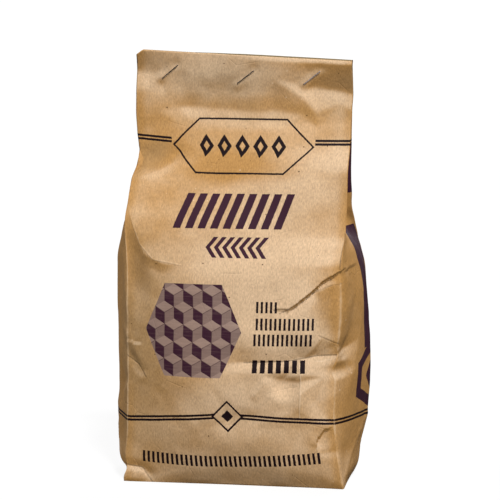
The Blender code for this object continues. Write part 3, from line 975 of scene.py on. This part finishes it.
# %% A socket that can do arithmetic
class Wire:
    """An output socket of a node tree that takes part in Python expressions."""

    def __init__(self, tree, socket=None):
        self.tree = tree
        self.socket = socket

    def node(self, kind, settings=None, inputs=None, output=0):
        """Adds a node: first its settings, then values or links for its inputs."""
        made = self.tree.nodes.new(kind)
        for name, value in (settings or {}).items():
            setattr(made, name, value)
        for place, value in (inputs or {}).items():
            if isinstance(value, Wire):
                self.tree.links.new(value.socket, made.inputs[place])
            else:
                made.inputs[place].default_value = value
        return Wire(self.tree, made.outputs[output])

    def other(self, output):
        """Another output of the same node."""
        return Wire(self.tree, self.socket.node.outputs[output])

    def feed(self, node, place):
        self.tree.links.new(self.socket, node.inputs[place])

    def math(self, operation, *values, **settings):
        inputs = dict(enumerate(values))
        return self.node("ShaderNodeMath", {"operation": operation, **settings}, inputs)

    def vector(self, operation, inputs, output=0):
        return self.node("ShaderNodeVectorMath", {"operation": operation}, inputs, output)

    def __add__(self, other):
        return self.math("ADD", self, other)

    def __sub__(self, other):
        return self.math("SUBTRACT", self, other)

    def __rsub__(self, other):
        return self.math("SUBTRACT", other, self)

    def __mul__(self, other):
        return self.math("MULTIPLY", self, other)

    def __neg__(self):
        return self.math("MULTIPLY", self, -1.0)

    def __abs__(self):
        return self.math("ABSOLUTE", self)

    __radd__ = __add__
    __rmul__ = __mul__


print("a wire can be added, subtracted and multiplied")

# %% Masks from expressions
def lesser(a, b):
    return a.math("MINIMUM", a, b)


def greater(a, b):
    return a.math("MAXIMUM", a, b)


def step(value, low, high):
    """0 where value is under low and 1 where it is over high, with a smooth rise between."""
    settings = {"interpolation_type": "SMOOTHSTEP", "clamp": True}
    inputs = {"Value": value, "From Min": low, "From Max": high}
    return value.node("ShaderNodeMapRange", settings, inputs)


def inside(distance, blur=0.00012):
    """1 where a distance to an outline is negative, with an edge as soft as wet ink."""
    return step(-distance, -blur, blur)


def blend(share, first, second):
    """Mixes two colours by a share."""
    inputs = {0: share, 6: first, 7: second}
    return share.node("ShaderNodeMix", {"data_type": "RGBA"}, inputs, output=2)


def srgb(red, green, blue):
    """A colour as a screen shows it, turned into the linear light that shaders work in."""
    values = [c / 255.0 for c in (red, green, blue)]
    return (*(c / 12.92 if c <= 0.04045 else ((c + 0.055) / 1.055) ** 2.4 for c in values), 1.0)


def noise(place, scale, detail=3.0, rough=0.55, distortion=0.0):
    inputs = {
        "Vector": place, "Scale": scale, "Detail": detail, "Roughness": rough,
        "Distortion": distortion,
    }
    return place.node("ShaderNodeTexNoise", {"noise_dimensions": "3D"}, inputs)


print("kraft brown is", [round(c, 3) for c in srgb(190, 150, 105)])

# %% [markdown]
# ## Where the ink goes
#
# The bag is printed in one dark purple ink, on the flat sheet, before it is folded. So every
# printed shape is a distance worked out from the place across and up the sheet, and the folds
# carry it round with them. Two double rules run right round the tube. Between them stand plain
# ornaments: a long hexagon with diamonds, a band of slanting bars, a row of chevrons, a field
# of tumbling blocks, and rows of small dashes.

# %% Ink shapes as distances
RULE_HALF = 0.00066
RULE_GAP = 0.00100


def box_distance(across, up, half_wide, half_tall):
    """Distance to an upright box round the origin, negative inside."""
    return greater(abs(across) - half_wide, abs(up) - half_tall)


def diamond_distance(across, up, half_wide, half_tall):
    slope = half_wide / half_tall
    return (abs(across) + abs(up) * slope - half_wide) * (1.0 / math.hypot(1.0, slope))


def hexagon_distance(across, up, half_wide, half_tall, point):
    """A long hexagon: a box whose two ends come to a point."""
    lean = point / half_tall
    ends = (abs(across) + abs(up) * lean - half_wide) * (1.0 / math.hypot(1.0, lean))
    return greater(ends, abs(up) - half_tall)


def outline(distance, half_line):
    return abs(distance) - half_line


def repeated(value, pitch):
    """Folds a coordinate into repeats of one pitch, each with its own middle."""
    turns = value * (1.0 / pitch)
    return (turns - turns.math("ROUND", turns)) * pitch


def rules(up):
    """Two thin lines, one over the other."""
    return abs(abs(up) - RULE_GAP) - RULE_HALF


def bars(across, up, half, pitch, half_bar):
    """A band of upright bars. A place across that leans with the height makes them slant."""
    return greater(abs(repeated(across, pitch)) - half_bar, box_distance(across, up, *half))


def sloped(distance, slope, most):
    """Rises with a distance past 0, up to a most."""
    return lesser(greater(distance, 0.0) * slope, most)


print("a double rule is", round(2 * (RULE_GAP + RULE_HALF) * 1000, 1), "mm high")

# %% The printed front
BADGE_AT = (0.0005, 0.1955)
BADGE_HALF = (0.0418, 0.0149)
BADGE_POINT = 0.016
BADGE_LINE = 0.0005
BADGE_CLEAR = 0.0428
DIAMOND = (0.0044, 0.0064)
DIAMOND_HOLE = (0.0018, 0.0027)
DIAMOND_PITCH = 0.0108
DIAMOND_ROW = 0.0270
# middle, half size, lean, pitch and half width of the bars
HEADING = ((-0.0005, 0.1596), (0.0324, 0.0098), 0.35, 0.0072, 0.0022)
CHEVRONS = ((0.0005, 0.1395), (0.017, 0.0058), 0.75, 0.0048, 0.0013)
UPPER_RULE = 0.1980
LOWER_RULE = 0.0431
LOZENGE = 0.0088
LOZENGE_LINE = 0.00055
LOZENGE_HEART = 0.0036


def badge(across, up):
    """A long hexagon in outline, with a row of diamonds in it."""
    x, y = across - BADGE_AT[0], up - BADGE_AT[1]
    frame_line = outline(hexagon_distance(x, y, *BADGE_HALF, BADGE_POINT), BADGE_LINE)
    turn = repeated(x, DIAMOND_PITCH)
    row = greater(diamond_distance(turn, y, *DIAMOND), abs(x) - DIAMOND_ROW)
    return lesser(frame_line, greater(row, -diamond_distance(turn, y, *DIAMOND_HOLE)))


def heading(across, up):
    """A band of slanting bars."""
    (x0, y0), half, lean, *bar = HEADING
    x, y = across - x0, up - y0
    return bars(x - y * lean, y, half, *bar)


def chevrons(across, up):
    """A small row of chevrons: the bars lean both ways from the middle line."""
    (x0, y0), half, lean, *bar = CHEVRONS
    x, y = across - x0, up - y0
    return bars(x - abs(y) * lean, y, half, *bar)


def upper_rules(across, up):
    """The upper double rule, which rises towards the left and stops short of the badge."""
    line = rules(up - UPPER_RULE - sloped(-0.0423 - across, 0.06, 0.0013))
    return greater(line, BADGE_CLEAR - abs(across - BADGE_AT[0]))


def lower_rules(across, up):
    """The lower double rule, which sags both ways, with a lozenge in its middle."""
    sag = sloped(-0.0085 - across, 0.095, 0.0050) + sloped(across, 0.045, 0.0050)
    level = up - LOWER_RULE + sag
    lozenge = diamond_distance(across, level, LOZENGE, LOZENGE)
    heart = diamond_distance(across, level, LOZENGE_HEART, LOZENGE_HEART)
    line = greater(rules(level), 0.0004 - lozenge)
    return lesser(line, lesser(outline(lozenge, LOZENGE_LINE), heart))


print("the badge is", round(2000 * BADGE_HALF[0]), "mm wide")

# %% Small rows of dashes
# middle across, up, half length, half height, pitch, share of ink
DASH_ROWS = [
    (0.022, 0.1066, 0.007, 0.0032, 0.0027, 0.5), (0.0328, 0.097, 0.0182, 0.0034, 0.0027, 0.5),
    (0.0318, 0.0879, 0.0175, 0.0034, 0.0027, 0.5), (0.03, 0.0725, 0.0158, 0.0037, 0.0047, 0.62),
]
FOOT_ROW = (0.0003, 0.0154, 0.0535, 0.0034, 0.0029, 0.52)
FOOT_BEND = 0.75
FOOT_TILT = 0.024


def dashes(across, up, row):
    """One row of upright dashes."""
    x0, y0, half_long, half_tall, pitch, share = row
    return bars(across - x0, up - y0, (half_long, half_tall), pitch, 0.5 * pitch * share)


def all_dashes(across, up):
    """The four short rows and the long bent one at the foot."""
    found = dashes(across, up - across * across * FOOT_BEND - across * FOOT_TILT, FOOT_ROW)
    for row in DASH_ROWS:
        found = lesser(found, dashes(across, up, row))
    return found


print(len(DASH_ROWS) + 1, "rows of dashes")

# %% The field of tumbling blocks
BLOCKS_AT = (-0.0213, 0.0922)
BLOCKS_HALF = (0.029, 0.0266)
BLOCKS_POINT = 0.012
BLOCK_SIDE = 0.0066
BLOCK_LINE = 0.00022
BLOCK_BLUR = 0.0001
LEFT_TONE = 0.92
RIGHT_TONE = 0.30
LINE_TONE = 0.90


def block_ink(across, up):
    """How much ink each face of the tumbling blocks gets: light tops, dark left sides."""
    x, y = across - BLOCKS_AT[0], up - BLOCKS_AT[1]
    wide, tall = math.sqrt(3.0) * BLOCK_SIDE, 3.0 * BLOCK_SIDE
    x1, y1 = repeated(x, wide), repeated(y, tall)
    x2, y2 = repeated(x - wide / 2, wide), repeated(y - tall / 2, tall)
    near = x1 * x1 + y1 * y1
    first = near.math("LESS_THAN", near, x2 * x2 + y2 * y2)
    bx, by = x1 * first + x2 * (1.0 - first), y1 * first + y2 * (1.0 - first)
    ridge = (by - abs(bx) * (1.0 / math.sqrt(3.0))) * (math.sqrt(3.0) / 2.0)
    top = step(ridge, -BLOCK_BLUR, BLOCK_BLUR)
    left = step(-bx, -BLOCK_BLUR, BLOCK_BLUR)
    tone = (1.0 - top) * (left * LEFT_TONE + (1.0 - left) * RIGHT_TONE)
    streaks = across.node("ShaderNodeCombineXYZ", {}, {0: across * 0.10, 1: up})
    tone = tone + (noise(streaks, 900.0) - 0.4) * 0.45
    joints = lesser(abs(ridge), abs(bx) + top)
    tone = tone + (LINE_TONE - tone) * inside(joints - BLOCK_LINE) * 0.7
    field = inside(hexagon_distance(x, y, *BLOCKS_HALF, BLOCKS_POINT))
    return tone.math("MULTIPLY", tone, field, use_clamp=True), field


print("each block is", round(2000 * BLOCK_SIDE, 1), "mm tall")

# %% The printed gusset
RING_AT = 0.0608
RING_HALF = 0.0160
RING_POINT = 0.008
RING_LINE = 0.0030
RING_HEART = (0.006, 0.0085)
# width or half width, lower end, upper end
CREASE_BAR = (0.0086, 0.0775, 0.148)
FOLD_BAR = (0.008, 0.168, 0.1965)
# from where, slope and most of the widening
BAR_FLARE = (0.126, 1.5, 0.024)


def gusset_print(across, up):
    """A bold hexagon and a bar on the right gusset's middle crease, and a bar by its back fold."""
    x, y = across - (HALF_PANEL + GUSSET_WIDTH / 2), up - RING_AT
    ring = outline(hexagon_distance(y, x, RING_HALF, RING_HALF, RING_POINT), RING_LINE)
    ring = lesser(ring, diamond_distance(x, y, *RING_HEART))
    wide, low, high = CREASE_BAR
    flare_from, slope, most = BAR_FLARE
    beside_bar = greater(x - wide - sloped(up - flare_from, slope, most), -wide - x)
    bar = greater(beside_bar, abs(up - 0.5 * (low + high)) - 0.5 * (high - low))
    wide, low, high = FOLD_BAR
    by_fold = x - (GUSSET_WIDTH - wide) / 2
    fold_bar = box_distance(by_fold, up - 0.5 * (low + high), 0.5 * wide, 0.5 * (high - low))
    return lesser(ring, lesser(bar, fold_bar))


print("the ring on the gusset is", round(2000 * RING_HALF), "mm tall")

# %% [markdown]
# ## Fine creases
#
# The grid of the mesh is about a millimetre wide, and the sharpest creases of paper are finer.
# Their bodies are in the mesh already. Here the same lines get a hair-fine groove or ridge, as a
# distance to a few straight stretches, which the paper's bump then follows. A web of cell edges
# adds the faint random creases of handling.

# %% Hair-fine creases
# depth, then the path; below 0 is a groove and above 0 a ridge
FINE_CREASES = [
    (-1.0, LONG_CREASE[0:1] + LONG_CREASE[2:3] + LONG_CREASE[4:]),
    (-0.6, [(0.0487, 0.1149), (0.0582, 0.1191), (0.064, 0.1202)]),
    (-0.8, [(0.026, 0.1052), (0.031, 0.1056), (0.0355, 0.1053)]),
    (-0.9, [(0.0095, 0.0745), (0.0349, 0.0755), (0.0529, 0.0785), (0.0635, 0.079)]),
    (0.8, [(0.0434, 0.043), (0.0434, 0.0638), (0.042, 0.074)]),
    (-0.35, [(0.0515, 0.024), (0.0529, 0.0298), (0.0575, 0.0355), (0.063, 0.0372)]),
    (-1.5, [(0.0631, 0.147), (0.0631, 0.1285)]), (-0.7, [(0.0525, 0.0905), (0.064, 0.0855)]),
    (-0.8, [(-0.0651, 0.0755), (-0.0556, 0.0706), (-0.0505, 0.0637)]),
    (0.6, [(-0.0603, 0.1564), (-0.054, 0.1404), (-0.0455, 0.1319), (-0.029, 0.129)]),
    (-0.8, [(-0.068, 0.0105), (-0.054, 0.0085), (-0.047, 0.0)]),
]
FINE_REACH = 0.0008
WEB_SCALE = 48.0
WEB_REACH = 0.0006


def stretch_distance(flat, start, end):
    """Distance of a flat place to one straight stretch of a line."""
    length = math.dist(start, end)
    way = ((end[0] - start[0]) / length, (end[1] - start[1]) / length, 0.0)
    offset = flat.vector("SUBTRACT", {0: flat, 1: (*start, 0.0)})
    along = offset.vector("DOT_PRODUCT", {0: offset, 1: way}, output=1)
    along = along.node("ShaderNodeClamp", {}, {"Value": along, "Min": 0.0, "Max": length})
    nearest = along.vector("SCALE", {0: way, "Scale": along})
    offset = offset.vector("SUBTRACT", {0: offset, 1: nearest})
    return offset.vector("LENGTH", {0: offset}, output=1)


def fine_creases(flat):
    """Grooves below 0 and ridges above 0, along every fine crease."""
    total = None
    for depth, path in FINE_CREASES:
        nearest = None
        for start, end in zip(path, path[1:]):
            far = stretch_distance(flat, start, end)
            nearest = lesser(nearest, far) if nearest else far
        line = (1.0 - step(nearest, 0.0, FINE_REACH)) * depth
        total = total + line if total else line
    return total


def crease_web(flat):
    """Faint straight creases between random cells, broken up so that few of them run far."""
    settings = {"feature": "DISTANCE_TO_EDGE", "voronoi_dimensions": "2D"}
    edge = flat.node("ShaderNodeTexVoronoi", settings, {"Vector": flat, "Scale": WEB_SCALE})
    shown = step(noise(flat, 38.0, detail=1.0), 0.50, 0.62)
    return (1.0 - step(edge, 0.0, WEB_REACH * WEB_SCALE)) * shown


print(sum(len(path) - 1 for _, path in FINE_CREASES), "stretches of fine crease")

# %% [markdown]
# ## Kraft paper
#
# Kraft paper is golden brown where it is fresh. Here it is painted paler where hands and cement
# dust have rubbed it and where a painted sheen stands for the light on it. It is painted greyer
# and darker where a painted shade stands for shade. Long fibres give it a fine grain, with a
# dark speck of bark here and there. Where it was creased and rubbed the colour is worn off, and
# fine grooves are painted darker as shade. All of it is procedural, and every pattern is laid
# out on the flat sheet, so that it runs unbroken over the folds.

# %% Bare paper
GOLDEN = (0.39, 0.207, 0.066, 1.0)
PALE = (0.540, 0.375, 0.230, 1.0)
RUBBED = (0.660, 0.500, 0.340, 1.0)
# painted shade on the inside lip at the mouth
INSIDE_PAINTED_SHADE = srgb(98, 90, 66)
SPECK = srgb(70, 45, 25)
# the greyer, darker brown of the painted shade
PAINTED_SHADE_COLOUR = (0.215, 0.165, 0.100, 1.0)
FIBRE_STRETCH = (1.0, 0.42, 1.0)
# how strongly each pattern darkens or lightens the paper
FIBRE_SHADE = 0.34
GRAIN_SHADE = 0.95
CLOUD_SHADE = 0.10
# painted shade along the fine grooves
GROOVE_PAINTED_SHADE = 0.30
RUBBED_SHARE = 0.75
INSIDE_SHADE_SHARE = 0.85
# scale, radius, share of the cells
DARK_SPECKS = (60.0, 0.00048, 0.4)
PALE_SPECKS = (120.0, 0.00045, 0.12)


def spots(place, scale, radius, share):
    """Scattered round spots: one in each random cell, but only in a share of the cells."""
    settings = {"feature": "F1", "voronoi_dimensions": "2D"}
    distance = place.node("ShaderNodeTexVoronoi", settings, {"Vector": place, "Scale": scale})
    red = place.node("ShaderNodeSeparateColor", {}, {0: distance.other("Color")})
    size = red.other(1) * 0.7 + 0.3
    chosen = red.math("LESS_THAN", red, share)
    return inside(distance * (1.0 / scale) - size * radius, 0.00010) * chosen


def paper_noises(flat):
    """Three random patterns that the finish shares: grain, fibres and soft clouds."""
    stretched = flat.vector("MULTIPLY", {0: flat, 1: FIBRE_STRETCH})
    grain = noise(stretched, 1300.0, rough=0.6)
    fibres = noise(stretched, 420.0, detail=4.0, rough=0.62, distortion=0.6)
    return grain, fibres, noise(flat, 55.0, detail=4.0)


def bare_paper(flat, creased, grain, fibres, clouds):
    """The colour of the paper under the ink, with its painted sheen and painted shade, and how
    rubbed it is.
    """
    worn, faded_and_sheen, painted_shade = (
        flat.node("ShaderNodeAttribute", {"attribute_name": name}, output=2) for name in NUMBERS
    )
    # paleness from fading and painted sheen
    pale = step(faded_and_sheen + (clouds - 0.5) * 0.5, 0.0, 1.0)
    # painted shade mixes the paper towards a greyer, darker brown
    paper = blend(painted_shade + (clouds - 0.5) * 0.3 * painted_shade, blend(pale, GOLDEN, PALE), PAINTED_SHADE_COLOUR)
    shade = 1.0 + (fibres - 0.5) * FIBRE_SHADE + (grain - 0.5) * GRAIN_SHADE
    # fine grooves darken the paper as painted shade
    shade = shade + (clouds - 0.5) * CLOUD_SHADE + lesser(creased, 0.0) * GROOVE_PAINTED_SHADE
    paper = paper.vector("SCALE", {0: paper, "Scale": shade})
    rubbed = step(greater(worn, creased) + (fibres - 0.5) * 0.8, 0.25, 1.2) * RUBBED_SHARE
    paper = blend(rubbed, paper, RUBBED)
    # the inside lip is painted dark olive brown as shade
    paper = blend(step(-worn, 0.3, 1.0) * INSIDE_SHADE_SHARE, paper, INSIDE_PAINTED_SHADE)
    paper = blend(spots(flat, *DARK_SPECKS) * 0.85, paper, SPECK)
    return blend(spots(flat, *PALE_SPECKS) * 0.5, paper, RUBBED), rubbed


print("fibres are stretched by", round(FIBRE_STRETCH[0] / FIBRE_STRETCH[1], 1))

# %% [markdown]
# ## Ink on the paper
#
# Solid shapes and thin lines are printed apart, because a thin line of wet ink looks darker.
# Under the field of blocks lies a light tint of the same ink. The grain makes the edges a
# little ragged, and where the paper is rubbed the ink is worn thin. The relief of grain, fibres
# and fine creases goes into a bump.

# %% Printed paper
INK = srgb(52, 24, 38)
DEEP_INK = srgb(20, 5, 8)
TINT = (0.250, 0.172, 0.150, 1.0)
TINT_SHARE = 0.85
RAGGED = 0.00035
PAPER_ROUGHNESS = 0.56
CREASE_RELIEF = 2.6
WEB_RELIEF = 0.9
BUMP = {"Strength": 0.45, "Distance": 0.00022}


def kraft_material():
    material = bpy.data.materials.new("printed_kraft")
    material.use_nodes = True
    shader = material.node_tree.nodes["Principled BSDF"]
    flat = Wire(material.node_tree).node("ShaderNodeUVMap", {"uv_map": "flat_sheet"})
    across = flat.node("ShaderNodeSeparateXYZ", {}, {0: flat})
    place = (across, across.other(1))
    creased = fine_creases(flat)
    grain, fibres, clouds = paper_noises(flat)
    paper, rubbed = bare_paper(flat, creased, grain, fibres, clouds)

    solids = lesser(lesser(heading(*place), chevrons(*place)), gusset_print(*place))
    lines = lesser(upper_rules(*place), lower_rules(*place))
    lines = lesser(lines, lesser(badge(*place), all_dashes(*place)))
    blocks, field = block_ink(*place)
    ragged = (grain - 0.5) * RAGGED
    cover = (step(fibres + grain * 0.5, 0.30, 0.70) * 0.10 + 0.92) * (1.0 - rubbed * 0.6)
    solid = greater(inside(solids + ragged), blocks) * cover
    line = inside(lines + ragged) * cover
    printed = blend(solid, blend(field * TINT_SHARE, paper, TINT), INK)
    blend(line, printed, DEEP_INK).feed(shader, "Base Color")

    rough = PAPER_ROUGHNESS + greater(solid, line) * 0.08 + (grain - 0.5) * 0.10
    rough.feed(shader, "Roughness")
    relief = grain * 0.5 + fibres + creased * CREASE_RELIEF - crease_web(flat) * WEB_RELIEF
    relief.node("ShaderNodeBump", {}, {**BUMP, "Height": relief}).feed(shader, "Normal")
    shader.inputs["IOR"].default_value = 1.5
    shader.inputs["Specular IOR Level"].default_value = 0.12
    return material


bag.data.materials.append(kraft_material())
print("the paper's material has", len(bag.data.materials[0].node_tree.nodes), "nodes")

# %% [markdown]
# ## Steel staples
#
# The three staples are parts of the imported model and stay where they are. They only get a
# better finish: zinc-grey wire on two of them, and on the third a paler copy that is a painted
# highlight.

# %% Staple wire
def wire_material(name, dark, light, metallic):
    material = bpy.data.materials.new(name)
    material.use_nodes = True
    shader = material.node_tree.nodes["Principled BSDF"]
    place = Wire(material.node_tree).node("ShaderNodeTexCoord", output="Object")
    mottle = noise(place, 160.0, detail=2.0)
    blend(step(mottle, 0.35, 0.65), dark, light).feed(shader, "Base Color")
    (0.34 + mottle * 0.15).feed(shader, "Roughness")
    shader.inputs["Metallic"].default_value = metallic
    return material


DULL_WIRE = wire_material("dull_wire", (0.10, 0.10, 0.11, 1.0), (0.17, 0.17, 0.18, 1.0), 1.0)
# the third staple's paler wire is a painted highlight
HIGHLIGHT_PAINTED_WIRE = wire_material("wire_with_painted_highlight", (0.32, 0.30, 0.33, 1.0), (0.44, 0.42, 0.45, 1.0), 0.5)
FINISHES = {"staple_left": DULL_WIRE, "staple_middle": DULL_WIRE, "staple_right": HIGHLIGHT_PAINTED_WIRE}
for name, finish in FINISHES.items():
    bpy.data.objects[name].material_slots[0].material = finish
print("finished", ", ".join(FINISHES))

# %% [markdown]
# ## Floor, light and camera
#
# The photograph is a plain studio shot on white. A pale floor and a white surround are
# brightened for the camera alone, so that they throw little light on the bag. Four soft lamps
# do the lighting: the main one high in front, a low one under it, one on the left and one behind.

# %% Pale floor
FLOOR_REACH = 3.0
FLOOR_FRONT = -0.13
FLOOR_GREY = (0.85, 0.85, 0.85, 1.0)
FLOOR_GLOW = 0.90
WHITE = (1.0, 1.0, 1.0, 1.0)


def floor_paint():
    """Pale paint, brightened where the camera sees it."""
    paint = bpy.data.materials.new("pale_floor_paint")
    paint.use_nodes = True
    tree = paint.node_tree
    shader = tree.nodes["Principled BSDF"]
    shader.inputs["Base Color"].default_value = FLOOR_GREY
    shader.inputs["Roughness"].default_value = 0.9
    ray = Wire(tree).node("ShaderNodeLightPath", output="Is Camera Ray")
    shine = ray.node("ShaderNodeEmission", {}, {"Color": ray})
    layers = {0: FLOOR_GLOW, 1: Wire(tree, shader.outputs[0]), 2: shine}
    ray.node("ShaderNodeMixShader", {}, layers).feed(tree.nodes["Material Output"], "Surface")
    return paint


def make_floor():
    size = FLOOR_REACH
    corners = [(-size, FLOOR_FRONT, 0), (size, FLOOR_FRONT, 0), (size, size, 0), (-size, size, 0)]
    data = bpy.data.meshes.new("pale_floor")
    data.from_pydata(corners, [], [(0, 1, 2, 3)])
    data.materials.append(floor_paint())
    floor = bpy.data.objects.new("pale_floor", data)
    bpy.context.collection.objects.link(floor)
    return floor


make_floor()
print("the floor reaches", FLOOR_REACH, "m each way")

# %% Soft studio light
scene = bpy.context.scene
scene.view_settings.view_transform = "Standard"
SURROUND_SEEN = 1.05
SURROUND_GIVEN = 0.03
LAMP_DISTANCE = 2.0
# azimuth, elevation and spread in degrees, strength; azimuth 0 is in front and 90 on the right
LAMPS = {
    "high_lamp": (26.0, 53.0, 9.0, 3.60), "right_lamp": (28.0, 8.0, 14.0, 1.46),
    "left_lamp": (-95.0, 20.0, 20.0, 1.85), "back_lamp": (165.0, 32.0, 25.0, 2.40),
}


def white_surround():
    """A white world that the camera sees much brighter than the light that it gives."""
    world = bpy.data.worlds.new("white_surround")
    world.use_nodes = True
    tree = world.node_tree
    tree.nodes.remove(tree.nodes["Background"])
    ray = Wire(tree).node("ShaderNodeLightPath", output="Is Camera Ray")
    given, seen = (
        ray.node("ShaderNodeBackground", {}, {"Color": WHITE, "Strength": strength})
        for strength in (SURROUND_GIVEN, SURROUND_SEEN)
    )
    mixed = ray.node("ShaderNodeMixShader", {}, {0: ray, 1: given, 2: seen})
    mixed.feed(tree.nodes["World Output"], "Surface")
    return world


def direction(azimuth, elevation):
    """The way from the bag towards a lamp or the camera."""
    level = math.cos(elevation)
    return Vector((math.sin(azimuth) * level, -math.cos(azimuth) * level, math.sin(elevation)))


def place_towards_bag(name, data, away, spot):
    """Puts a lamp or camera at a spot, looking back along the way it came."""
    made = bpy.data.objects.new(name, data)
    made.location = spot
    made.rotation_euler = (-away).to_track_quat("-Z", "Y").to_euler()
    bpy.context.collection.objects.link(made)
    return made


scene.world = white_surround()
for name, (azimuth, elevation, spread, strength) in LAMPS.items():
    lamp = bpy.data.lights.new(name, "SUN")
    lamp.angle = math.radians(spread)
    lamp.energy = strength
    away = direction(math.radians(azimuth), math.radians(elevation))
    place_towards_bag(name, lamp, away, away * LAMP_DISTANCE)
print("lamps:", ", ".join(LAMPS))

# %% Camera at the photograph's angle
AZIMUTH = math.radians(10.0)
ELEVATION = math.radians(8.0)
DISTANCE = 1.5
PICTURE_WIDTH = 0.2935
AIM_HEIGHT = 0.125
AIM_RIGHT = 0.00295
AIM_UP = 0.0077
SENSOR_MM = 36.0
CLIP_START = 0.05


def aim_camera():
    back = direction(AZIMUTH, ELEVATION)
    right = Vector((math.cos(AZIMUTH), math.sin(AZIMUTH), 0.0))
    above = back.cross(right)
    target = Vector((0.0, 0.0, AIM_HEIGHT)) + right * AIM_RIGHT + above * AIM_UP
    lens = bpy.data.cameras.new("studio_camera")
    lens.sensor_width = SENSOR_MM
    lens.lens = SENSOR_MM * DISTANCE / PICTURE_WIDTH
    lens.clip_start = CLIP_START
    return place_towards_bag("studio_camera", lens, back, target + back * DISTANCE)


scene.camera = aim_camera()
print("the camera stands", DISTANCE, "m away")
